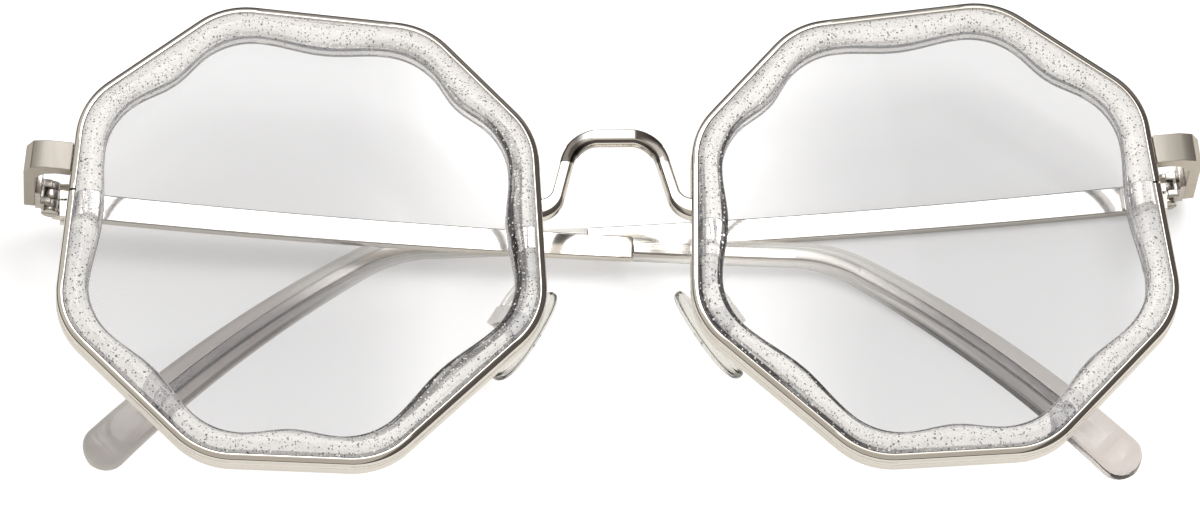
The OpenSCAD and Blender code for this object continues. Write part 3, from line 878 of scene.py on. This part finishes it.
def outline(corner_r, inset, bow=0.0):
    """Closed rim outline with round corners, moved in by inset and by bow at mid-side."""
    reach = chosen("front").rim_circle
    centres, starts, turns = [], [], []
    for i in range(8):
        here = corner(i, reach)
        back = (corner(i + 7, reach) - here).normalized()
        on = (corner(i + 1, reach) - here).normalized()
        opening = math.acos(back.dot(on))
        centres.append(here + (back + on).normalized() * corner_r / math.sin(opening / 2))
        starts.append(math.atan2(back.x, -back.y))
        turns.append(math.pi - opening)
    points = []
    for i in range(8):
        for k in range(ARC_STEPS + 1):
            a = starts[i] + turns[i] * k / ARC_STEPS
            points.append(centres[i] + (corner_r - inset) * heading(a))
        normal = heading(starts[i] + turns[i])
        following = centres[(i + 1) % 8]
        for k in range(1, SIDE_STEPS):
            t = k / SIDE_STEPS
            dip = bow * math.sin(math.pi * t) ** 2
            points.append(centres[i].lerp(following, t) + normal * (corner_r - inset - dip))
    return points


def ring_outlines():
    """Outlines of the clear ring at the rim and at the lens."""
    f = chosen("front")
    outer = outline(f.rim_corner, f.rim_wall)
    inner = outline(f.ring_inner_corner, f.rim_wall + f.ring_width, f.ring_bow)
    return outer, inner


RING_CROWN = [(0, 1.15), (0.1, 1.5), (0.28, 1.78), (0.5, 1.9), (0.72, 1.75), (0.9, 1.35), (1, 0.85)]
RING_BACK = -1.5
RING_BACK_EDGE = -1.05
RIM_FRONT = 1.4
RIM_FALL_ABOVE = 0.9
RIM_EDGE_STEPS = 3
RIM_GROOVE_AT = (0.35, 0.22, -0.1, -0.23)


def ring_section(width):
    """Cross-section of the clear ring: share of its width from rim to lens, and height."""
    f = chosen("front")
    crown = [(p.x, p.y * MM) for p in spline([Vector((*p, 0)) for p in RING_CROWN], 4)]
    g = f.groove
    deep = 1 - g / width
    low_edge = RING_BACK * MM
    return [(0.0, low_edge + 0.1 * MM)] + crown + [
        (1, g), (deep, g), (deep, -g), (1, -g), (1, RING_BACK_EDGE * MM), (0.95, -1.3 * MM),
        (0.86, low_edge), (0.04, low_edge),
    ]


class BuildRims(Operator):
    """Builds the two metal rims with their closing slits"""

    bl_idname = "glasses.build_rims"
    bl_label = "Build rims"

    def execute(self, context):
        f = chosen("front")
        front = RIM_FRONT * MM
        outside = -f.rim_wall / 2
        section = [
            (across, z - f.rim_fall * (across / outside + 1) / 2 if z > RIM_FALL_ABOVE * MM else z)
            for across, z in rounded_section(
                -outside, front - f.rim_depth, front, f.rim_edge, f.rim_edge, RIM_EDGE_STEPS
            )
        ]
        last_corner = 3 * (RIM_EDGE_STEPS + 1)
        depths = (0, f.rim_groove, f.rim_groove, 0)
        section[last_corner:last_corner] = [
            (outside + depth, z * MM) for depth, z in zip(depths, RIM_GROOVE_AT)
        ]
        loops = [
            [(p.x, p.y, z) for p in outline(f.rim_corner, f.rim_wall / 2 + across)]
            for across, z in section
        ]
        rings = [list(ring) for ring in zip(*loops)]
        reach = f.rim_circle
        gap = block(
            (-reach, f.slit_height - f.slit / 2, -reach),
            (-reach / 2, f.slit_height + f.slit / 2, reach),
        )
        for side in SIDES:
            node = f"{side}_rim_wire"
            rim = new_mesh(f"{side}_rim", *skin(rings, closed=True), at_lens(side))
            cutter = new_mesh("slit", *gap, at_lens(side))
            cut_away(rim, cutter)
            dressed(flat_faced(smoothed(rim, 50)), "polished_metal", node)
        return {"FINISHED"}


FLAKE_SPAN = (0.07, 0.93)
FLAKE_HEIGHTS = (-1.3, 1.7)
GROOVE_FROM = 0.74
GROOVE_REACH = 0.7
BACK_EDGE_FROM = 0.84
BACK_EDGE_BELOW = -1.1
FLAKE_COVER = 0.15
FLAKE_TILT = 1.2
FLAKE_ASPECT = 0.8
LONGEST_STEP = 0.8


class BuildClearRings(Operator):
    """Builds the two clear rings with their groove, and the glitter in them"""

    bl_idname = "glasses.build_clear_rings"
    bl_label = "Build clear rings"

    def execute(self, context):
        outer, inner = ring_outlines()
        rings, marks = [], []
        gone = 0.0
        for k, (a, b) in enumerate(zip(outer, inner)):
            ring = []
            gone += (a - outer[k - 1]).length if k else 0.0
            for along, z in ring_section((b - a).length):
                p = a.lerp(b, along)
                ring.append((p.x, p.y, z))
                marks.append((gone, along, z))
            rings.append(ring)
        for side in SIDES:
            ring = new_mesh(f"{side}_ring", *skin(rings, closed=True), at_lens(side))
            marked(ring, "ring_way", marks)
            dressed(smoothed(ring, 40), "clear_acetate", f"{side}_acetate_ring")
            flakes = new_mesh(f"{side}_glitter", *self.glitter(side, outer, inner), at_lens(side))
            dressed(flakes, "glitter_flakes", body=BODY_OF[f"{side}_acetate_ring"])
        return {"FINISHED"}

    def glitter(self, side, outer, inner):
        """Thin square flakes at random places within the ring."""
        g = chosen("glitter")
        chance = random.Random(g.seed + SIDES.index(side))
        solids = []
        while len(solids) < g.count:
            k = chance.randrange(len(outer))
            m = (k + 1) % len(outer)
            t = chance.random()
            along = chance.uniform(*FLAKE_SPAN)
            z = chance.uniform(*FLAKE_HEIGHTS) * MM
            in_groove = along > GROOVE_FROM and abs(z) < GROOVE_REACH * MM
            near_back = along > BACK_EDGE_FROM and z < BACK_EDGE_BELOW * MM
            if z > crown_height(along) - FLAKE_COVER * MM or in_groove or near_back:
                continue
            edge = outer[k].lerp(outer[m], t)
            if chance.random() > (outer[m] - outer[k]).length / (LONGEST_STEP * MM):
                continue
            p = edge.lerp(inner[k].lerp(inner[m], t), along)
            lie = Matrix.Rotation(chance.uniform(0, math.pi), 4, "Z")
            lie = Matrix.Rotation(chance.uniform(-FLAKE_TILT, FLAKE_TILT), 4, "X") @ lie
            lie = Matrix.Rotation(chance.uniform(-FLAKE_TILT, FLAKE_TILT), 4, "Y") @ lie
            half = g.smallest + (g.largest - g.smallest) * chance.random() ** 2
            there = Matrix.Translation((p.x, p.y, z)) @ lie
            corner_at = Vector((half, half * FLAKE_ASPECT, g.thickness / 2))
            points, faces = block(-corner_at, corner_at)
            solids.append(([there @ Vector(q) for q in points], faces))
        return joined(*solids)


def crown_height(along):
    """Height of the ring's crown at a share of its width."""
    for (a, low), (b, high) in zip(RING_CROWN, RING_CROWN[1:]):
        if a <= along <= b:
            return (low + (high - low) * (along - a) / (b - a)) * MM
    raise ValueError("the share lies outside the ring")


LENS_RINGS = (1, 0.985, 0.96, 0.92, 0.85, 0.75, 0.62, 0.47, 0.3, 0.14)


class BuildLenses(Operator):
    """Builds the two curved lenses with the edge that sits in the groove"""

    bl_idname = "glasses.build_lenses"
    bl_label = "Build lenses"

    def execute(self, context):
        f = chosen("front")
        outer, inner = ring_outlines()
        middle = f.lens_thickness / 2 - math.sqrt(f.lens_curve**2 - f.lens_edge**2)
        play = 0.05 * MM
        edge = [b + (a - b).normalized() * (f.groove - play) for a, b in zip(outer, inner)]
        inner = [b + (b - a).normalized() * play for a, b in zip(outer, inner)]

        def height(p):
            return middle + math.sqrt(f.lens_curve**2 - p.length_squared)

        bevel = f.groove - play
        front = [[(p.x * s, p.y * s, height(p * s)) for p in inner] for s in LENS_RINGS]
        back = [[(x, y, z - f.lens_thickness) for x, y, z in ring] for ring in reversed(front)]
        rings = front[::-1] + [
            [(p.x, p.y, bevel) for p in inner], [(p.x, p.y, bevel) for p in edge],
            [(p.x, p.y, -bevel) for p in edge], [(p.x, p.y, -bevel) for p in inner],
        ] + back[::-1]
        for side in SIDES:
            lens = new_mesh(f"{side}_tinted_lens", *skin(rings), at_lens(side))
            dressed(smoothed(lens, 30), "lens_tint", f"{side}_lens")
        return {"FINISHED"}


ARCH_SECTION = [(-1, -0.5), (1, -0.5), (1, 0.3), (0.8, 0.5), (-0.55, 0.5), (-1, 0.24)]
ARCH_EDGE = 0.1
ARCH_SHARE = 0.72
SHOULDER_STEPS = 20
FOOT_STEPS = 12


class BuildBridge(Operator):
    """Builds the arch between the rims, with its broad top and its narrow legs"""

    bl_idname = "glasses.build_bridge"
    bl_label = "Build bridge"

    def execute(self, context):
        b = chosen("bridge")
        line, widths = self.arch(b)
        rings = []
        for (p, along), width in zip(along_line(line), widths):
            out = Vector((-along.y, along.x))
            lift = b.lift * min(1, max(0, 1 - (abs(p.x) - b.flat) / b.fall))
            rings.append([
                (*(p + out * across * width / 2), lift + b.depth * deep) for across, deep in ARCH_SECTION
            ])
        bridge = new_mesh("bridge_arch", *skin(rings), place_front())
        bevelled(bridge, ARCH_EDGE * MM, 3, 25)
        dressed(smoothed(bridge, 60), "arch_metal", "bridge")
        return {"FINISHED"}

    def arch(self, b):
        """Middle line of the arch from left to right, and its width at each point."""
        centre = Vector((b.shoulder_out, b.arch_top - b.shoulder))
        top = centre + b.shoulder * heading(b.leg_lean)
        foot = top + b.leg_length * Vector((math.sin(b.leg_lean), -math.cos(b.leg_lean)))
        foot_centre = foot + b.foot * heading(b.leg_lean)
        half, widths = [Vector((0, b.arch_top))], [b.arch_width]
        start, end = math.pi / 2, b.leg_lean
        for k in range(SHOULDER_STEPS + 1):
            a = start + (end - start) * k / SHOULDER_STEPS
            half.append(centre + b.shoulder * heading(a))
            widths.append(b.arch_width if k < ARCH_SHARE * SHOULDER_STEPS else b.leg_width)
        start, end = math.pi + b.leg_lean, 1.5 * math.pi
        for k in range(FOOT_STEPS + 1):
            t = k / FOOT_STEPS
            a = start + (end - start) * t
            half.append(foot_centre + b.foot * heading(a))
            widths.append(b.leg_width + (b.foot_width - b.leg_width) * t)
        half.append(half[-1] + Vector((0.5 * MM, 0)))
        widths.append(b.foot_width)
        mirror = [Vector((-p.x, p.y)) for p in reversed(half[1:])]
        return mirror + half, widths[:0:-1] + widths


def temple_route():
    """Middle line of a temple in its hinge's frame: points, headings and distances from the axis."""
    t = chosen("temples")
    end_gap = 0.12 * MM
    straight_share = t.bar_length / t.bend_start
    stages = [
        (30, t.bar_length - end_gap, -t.bow * straight_share),
        (8, t.bend_start - t.bar_length, -t.bow * (1 - straight_share)),
        (20, t.bend_radius * t.bend, t.bend),
        (24, t.tail, t.tail_turn),
    ]
    p, a, gone = Vector((end_gap, t.bar_drop)), 0.0, end_gap
    route = [(p.copy(), a, gone)]
    for count, total, turn in stages:
        for _ in range(count):
            middle = a + turn / count / 2
            p += total / count * heading(-middle)
            a += turn / count
            gone += total / count
            route.append((p.copy(), a, gone))
    return route


def across_route(p, a, section, outer):
    """Ring of a temple piece at a point of its route."""
    return [(p.x + math.sin(a) * w, p.y + math.cos(a) * w, z - outer) for w, z in section]


class BuildTempleBars(Operator):
    """Builds the two flat metal bars and the core wires drawn out of their ends"""

    bl_idname = "glasses.build_temple_bars"
    bl_label = "Build temple bars"

    def execute(self, context):
        t = chosen("temples")
        outer = chosen("hinges").outer
        bar, core = [], []
        for p, a, gone in temple_route():
            if gone <= t.bar_length + 0.01 * MM:
                half = (t.bar_height + (t.bar_end_height - t.bar_height) * gone / t.bar_length) / 2
                bar.append((p, a, half))
            if t.bar_length - 1 * MM < gone < t.core_end:
                core.append((p, a, t.core_width / 2))
        bar_rings = self.rings(bar, 0, t.bar_thickness, t.bar_edge, outer)
        core_rings = self.rings(core, t.core_lift, t.core_lift + t.core_thickness, 0.2 * MM, outer)
        for side in SIDES:
            node = f"{side}_temple_bar"
            face = new_mesh(f"{side}_bar", *skin(bar_rings), at_temple(side))
            dressed(flat_faced(smoothed(face, 50)), "polished_metal", node)
            wire = new_mesh(f"{side}_core_wire", *skin(core_rings), at_temple(side))
            dressed(flat_faced(smoothed(wire, 50)), "core_metal", node)
        return {"FINISHED"}

    def rings(self, stations, low, high, edge, outer):
        """Rings of a bar with rounded edges, its two ends drawn in a little."""
        found = []
        last = len(stations) - 1
        for k, (p, a, half) in enumerate(stations):
            onward = heading(-a)
            full = rounded_section(half, low, high, edge, edge, 3)
            drawn, small_r = 0.7 * edge, 0.6 * edge
            small = rounded_section(half - edge, low + drawn, high - drawn, small_r, small_r, 3)
            if k == 0:
                found.append(across_route(p, a, small, outer))
                found.append(across_route(p + onward * edge, a, full, outer))
            elif k == last:
                found.append(across_route(p - onward * edge, a, full, outer))
                found.append(across_route(p, a, small, outer))
            else:
                found.append(across_route(p, a, full, outer))
        return found


TIP_ANGLES = (15, 30, 45, 58, 70, 80, 87)
TIP_END_SHARE = 0.7
TIP_REACH = 0.45
SLEEVE_LOW_EDGE = 0.3
SLEEVE_TOP_EDGE = 0.85


class BuildSleeves(Operator):
    """Builds the two smoky clear sleeves with their broad round tips"""

    bl_idname = "glasses.build_sleeves"
    bl_label = "Build sleeves"

    def execute(self, context):
        t = chosen("temples")
        outer = chosen("hinges").outer
        route = [station for station in temple_route() if station[2] > t.bar_length - 0.01 * MM]
        whole = route[-1][2] - t.bar_length
        rings, marks = [], []
        for p, a, gone in route:
            s = (gone - t.bar_length) / whole
            flare = max(0, (s - t.flare_start) / (1 - t.flare_start)) ** 0.8
            width = t.bar_end_height + (t.tip_width - t.bar_end_height) * flare
            thick = t.sleeve_thickness + (t.tip_thickness - t.sleeve_thickness) * s
            rings.append(across_route(p, a, self.section(width, thick), outer))
            marks.extend(self.marks(0.95 * s, width, thick))
        p, a, _ = route[-1]
        onward = heading(-a)
        for degrees in TIP_ANGLES:
            bend = math.radians(degrees)
            width = t.tip_width * math.cos(bend)
            thick = t.tip_thickness * (TIP_END_SHARE + (1 - TIP_END_SHARE) * math.cos(bend))
            there = p + onward * math.sin(bend) * t.tip_width * TIP_REACH
            rings.append(across_route(there, a, self.section(width, thick), outer))
            marks.extend(self.marks(1.0, width, thick))
        for side in SIDES:
            sleeve = marked(new_mesh(f"{side}_sleeve", *skin(rings), at_temple(side)), "sleeve_way", marks)
            dressed(smoothed(sleeve, 60), "sleeve_plastic", f"{side}_temple_sleeve")
        return {"FINISHED"}

    def marks(self, along, width, thick):
        """For the finish: share of the sleeve's length, place across it, and its upper side."""
        return [
            (along, 2 * w / width, 1.0 if z > thick / 2 else 0.0) for w, z in self.section(width, thick)
        ]

    def section(self, width, thick):
        low_r = min(SLEEVE_LOW_EDGE * MM, width * 0.3)
        high_r = min(SLEEVE_TOP_EDGE * MM, width * 0.4)
        return rounded_section(width / 2, 0, thick, low_r, high_r, 5)


PAD_RINGS = [
    (-1, 0.25, 0.7), (-0.94, 0.52, 0.36), (-0.78, 0.82, 0.12), (-0.45, 1, 0), (0, 0.98, 0),
    (0.4, 0.86, 0.04), (0.72, 0.66, 0.16), (0.92, 0.42, 0.4), (1, 0.2, 0.7),
]
PAD_SECTION = [
    (0.34, -0.96), (0.6, -1), (0.85, -0.8), (1, -0.35), (1, 0.35), (0.85, 0.8), (0.6, 1),
    (0.34, 0.96), (0.1, 0.75), (0.02, 0), (0.1, -0.75),
]
LUG_EDGE = 0.15


class BuildNosePads(Operator):
    """Builds the two clear nose pads with the lugs that their screws hold"""

    bl_idname = "glasses.build_nose_pads"
    bl_label = "Build nose pads"

    def execute(self, context):
        n = chosen("pads")
        rings = []
        for along, wide, back in PAD_RINGS:
            face = n.pad_thickness - back * MM
            rear = back * MM / 2
            rings.append([
                (rear + (face - rear) * deep, along * n.pad_length / 2, across * wide * n.pad_width / 2)
                for deep, across in PAD_SECTION
            ])
        lug = block(
            (-n.lug_end, -n.lug_half_height, -n.lug_half_depth),
            (n.pad_thickness / 2, n.lug_half_height, n.lug_half_depth),
        )
        hole = [
            [(n.screw_radius * p.x - n.screw_back, n.screw_radius * p.y, z) for p in circle(24)]
            for z in (-2 * n.lug_half_depth, 2 * n.lug_half_depth)
        ]
        for side in SIDES:
            pad = new_mesh(f"{side}_pad_cushion", *skin(rings), at_pad(side))
            round_off = pad.modifiers.new("round", "SUBSURF")
            round_off.levels = round_off.render_levels = 2
            baked(pad)
            dressed(smoothed(pad, 80), "pad_plastic", f"{side}_nose_pad")
            piece = new_mesh(f"{side}_pad_lug", *lug, at_pad(side))
            bevelled(piece, LUG_EDGE * MM, 3)
            cut_away(piece, new_mesh("hole", *skin(hole), at_pad(side)))
            dressed(smoothed(piece, 40), "pad_plastic", f"{side}_nose_pad")
        return {"FINISHED"}


ARM_NEAR_RIM = [
    (-8.45, -2.4, -0.8), (-8.5, -2.4, -2.1), (-8.8, -2.5, -3.1), (-9.6, -2.9, -4), (-10.7, -3.8, -4.7),
]
ARM_NEAR_BOX = (2.2, 1.6, 1.05)


class BuildPadArms(Operator):
    """Builds the two bent wires that carry the nose pads"""

    bl_idname = "glasses.build_pad_arms"
    bl_label = "Build pad arms"

    def execute(self, context):
        n = chosen("pads")
        stops = [Vector(p) * MM for p in ARM_NEAR_RIM] + [
            pad_frame() @ Vector((0.2 * MM - n.box_back, beside * MM, 0)) for beside in ARM_NEAR_BOX
        ]
        rings = []
        side_way = Vector((0, 1, 0))
        for p, along in along_line(spline(stops, 6)):
            side_way = (side_way - along * side_way.dot(along)).normalized()
            up_way = along.cross(side_way)
            rings.append([p + n.wire * (side_way * q.x + up_way * q.y) for q in circle(20)])
        for side in SIDES:
            arm = new_mesh(f"{side}_pad_wire", *skin(rings), place_front() @ mirrored(side))
            dressed(smoothed(arm, 60), "frosted_metal", f"{side}_pad_arm")
        return {"FINISHED"}


SAME_POINT = 0.001


class BuildFittings(Operator):
    """Gives the end pieces, hinge leaves, pad boxes, closing blocks and screws broken edges"""

    bl_idname = "glasses.build_fittings"
    bl_label = "Build fittings"

    parts = {
        "end_piece": ("end_cap", "satin_metal", "polished_metal", 0.14),
        "front_hinge_leaf": ("front_leaf", "hinge_steel", "hinge_steel", 0.07),
        "temple_hinge_leaf": ("temple_leaf", "hinge_steel", "hinge_steel", 0.07),
        "upper_closing_block": ("upper_block", "polished_metal", "polished_metal", 0.1),
        "lower_closing_block": ("lower_block", "polished_metal", "polished_metal", 0.1),
        "pad_box": ("pad_clamp", "frosted_metal", "polished_metal", 0.08),
        "hinge_screw": ("hinge_pin", "screw_steel", "screw_steel", 0.05),
        "closing_screw": ("rim_screw", "screw_steel", "screw_steel", 0.05),
        "pad_screw": ("pad_pin", "frosted_metal", "screw_steel", 0.05),
    }

    def execute(self, context):
        for side in SIDES:
            for part, (name, finish, slot, edge) in self.parts.items():
                node = f"{side}_{part}"
                piece = self.edged(frame["nodes"][node], f"{side}_{name}", edge * MM)
                dressed(flat_faced(smoothed(piece, 32)), finish, node)
        return {"FINISHED"}

    def edged(self, solid, name, width):
        """Copy of a solid with its flat faces joined and its edges rounded."""
        mesh = solid.data.copy()
        mesh.name = name
        shape = bmesh.new()
        shape.from_mesh(mesh)
        bmesh.ops.remove_doubles(shape, verts=shape.verts, dist=SAME_POINT * MM)
        bmesh.ops.dissolve_limit(
            shape, angle_limit=math.radians(1), verts=shape.verts, edges=shape.edges, delimit={"NORMAL"}
        )
        shape.to_mesh(mesh)
        shape.free()
        piece = new_object(name, mesh)
        if mesh.has_custom_normals:
            with bpy.context.temp_override(
                object=piece, active_object=piece, selected_objects=[piece],
                selected_editable_objects=[piece],
            ):
                bpy.ops.mesh.customdata_custom_splitnormals_clear()
        return bevelled(piece, width, 2, 32)


BLACK = (0, 0, 0)
FLOOR_TINT = (0.98, 0.97, 0.965)
FLOOR_IN_METAL = (0.80, 0.76, 0.69)
FLOOR_GLOW = (0.22, 0.22, 0.22)
ROOM = (0.56, 0.53, 0.48)
ROOM_LIGHT = (1.4, 1.36, 1.29)
ROOM_OVERHEAD = (0.46, 0.42, 0.36)
ROOM_LEFT = (0.16, 0.15, 0.14)
ROOM_RIGHT = (0.10, 0.085, 0.075)
ROOM_BEHIND = (0.30, 0.28, 0.26)
ROOM_LOW = (0.08, 0.07, 0.062)
ROOM_THROUGH_CLEAR = (0.12, 0.115, 0.115)


class BuildStage(Operator):
    """Builds the pale floor, the soft lamp, the surroundings and the camera"""

    bl_idname = "glasses.build_stage"
    bl_label = "Build stage"

    def execute(self, context):
        s = chosen("stage")
        half = s.floor_size / 2
        corners = [(x * half, y * half, 0) for x, y in ((-1, -1), (1, -1), (1, 1), (-1, 1))]
        floor = new_mesh("floor", corners, [(0, 1, 2, 3)], Matrix.Identity(4))
        finish = material("pale_floor")
        glow = finish.mixed(finish.ray("Camera") + finish.ray("Transmission"), BLACK, FLOOR_GLOW)
        floor.data.materials.append(finish.surface(finish.principled(
            Base_Color=finish.mixed(finish.ray("Glossy"), FLOOR_TINT, FLOOR_IN_METAL),
            Roughness=1.0,
            Specular_IOR_Level=0.0,
            Emission_Color=glow,
            Emission_Strength=1.0,
        )))
        self.lamp("soft_lamp", s.lamp_place, s.lamp_size, s.lamp_power)
        panel = self.lamp("soft_panel", s.panel_place, s.panel_size, s.panel_power)
        panel.visible_glossy = True
        panel.visible_transmission = True
        self.surroundings(context, s)
        self.camera(context, s)
        context.scene.view_settings.view_transform = "Standard"
        return {"FINISHED"}

    def lamp(self, name, place, size, power):
        """Square lamp that looks at the middle of the glasses and isn't seen itself."""
        light = bpy.data.lights.new(name, "AREA")
        light.shape = "SQUARE"
        light.size = size
        light.energy = power
        lamp = new_object(name, light)
        lamp.location = Vector(place)
        lamp.rotation_euler = (-Vector(place)).to_track_quat("-Z", "Y").to_euler()
        lamp.visible_camera = False
        lamp.visible_glossy = False
        lamp.visible_transmission = False
        return lamp

    def surroundings(self, context, s):
        """White to the eye and through clear parts; in the metal, a grey room that is dark to the right."""
        world = bpy.data.worlds.new("pale_room")
        context.scene.world = world
        room = Finish(world)
        x, y, z = room.parts(room.add("ShaderNodeTexCoord", output="Generated"))
        height = room.add("ShaderNodeMath", {"operation": "MAXIMUM"}, {0: z, 1: 0.05})
        across, along = x / height, y / height
        seen = room.mixed(room.band(across, -0.12, 0.24, 0.08), ROOM, ROOM_LIGHT)
        seen = room.mixed(room.stepped(along, 0.25, 0.05), seen, ROOM_OVERHEAD)
        seen = room.mixed(room.stepped(across, -0.8, -1.2), seen, ROOM_LEFT)
        seen = room.mixed(room.stepped(across, 0.27, 0.4), seen, ROOM_RIGHT)
        seen = room.mixed(room.stepped(along, 0.9, 1.3), seen, ROOM_BEHIND)
        seen = room.mixed(room.stepped(z, 0.4, 0.62), ROOM_LOW, seen)
        through = room.mixed(room.stepped(z, 0.05, 0.45), ROOM_THROUGH_CLEAR, WHITE)
        glossy, clear = room.ray("Glossy"), room.ray("Transmission")
        plain = room.ray("Camera") + clear
        tint = room.mixed(glossy, room.mixed(clear, WHITE, through), seen)
        strength = s.ambient + (1 - s.ambient) * room.stepped(plain + glossy, 0.0, 1.0)
        room.surface(room.add("ShaderNodeBackground", None, {"Color": tint, "Strength": strength}))

    def camera(self, context, s):
        low, high = math.cos(s.elevation), math.sin(s.elevation)
        forward = -Vector((math.sin(s.yaw), -math.cos(s.yaw) * low, math.cos(s.yaw) * high))
        upright = Vector((0, high, low))
        across = forward.cross(upright).normalized()
        up = across.cross(forward)
        right = math.cos(s.roll) * across - math.sin(s.roll) * up
        top = math.sin(s.roll) * across + math.cos(s.roll) * up
        place = Vector(s.target) - s.shift_across * right - s.shift_up * top - s.distance * forward
        turn = Matrix((right, top, -forward)).transposed().to_4x4()
        lens = bpy.data.cameras.new("camera")
        lens.sensor_fit = "HORIZONTAL"
        lens.sensor_width = SENSOR_WIDTH
        lens.lens = s.focal * SENSOR_WIDTH / PHOTO_WIDTH
        lens.clip_start = 0.01
        lens.clip_end = 20
        camera = new_object("camera", lens)
        camera.matrix_world = Matrix.Translation(place) @ turn
        context.scene.camera = camera


class GlassesPanel(Panel):
    """Lists the steps and the sizes of the glasses"""

    bl_idname = "VIEW3D_PT_glasses"
    bl_label = "Polygonal glasses"
    bl_space_type = "VIEW_3D"
    bl_region_type = "UI"
    bl_category = "Glasses"

    def draw(self, context):
        for operator in OPERATORS:
            self.layout.operator(operator.bl_idname)
        for name in GROUPS:
            group = getattr(context.scene, name)
            column = self.layout.column(heading=group.bl_rna.name)
            for prop in group.bl_rna.properties:
                if prop.identifier not in ("name", "rna_type"):
                    column.prop(group, prop.identifier)


OPERATORS = (
    BuildStage, BuildRims, BuildClearRings, BuildLenses, BuildBridge, BuildTempleBars, BuildSleeves,
    BuildNosePads, BuildPadArms, BuildFittings,
)
GROUPS = {
    "glasses_front": GlassesFront,
    "glasses_bridge": GlassesBridge,
    "glasses_hinges": GlassesHinges,
    "glasses_temples": GlassesTemples,
    "glasses_pads": GlassesPads,
    "glasses_glitter": GlassesGlitter,
    "glasses_finishes": GlassesFinishes,
    "glasses_stage": GlassesStage,
}


def register():
    for name, group in GROUPS.items():
        bpy.utils.register_class(group)
        setattr(bpy.types.Scene, name, PointerProperty(type=group))
    for operator in OPERATORS:
        bpy.utils.register_class(operator)
    bpy.utils.register_class(GlassesPanel)


def unregister():
    bpy.utils.unregister_class(GlassesPanel)
    for operator in reversed(OPERATORS):
        bpy.utils.unregister_class(operator)
    for name, group in GROUPS.items():
        delattr(bpy.types.Scene, name)
        bpy.utils.unregister_class(group)


def main():
    register()
    for operator in OPERATORS:
        step = operator.bl_idname.split(".")[1]
        getattr(bpy.ops.glasses, step)()


if __name__ == "__main__":
    main()
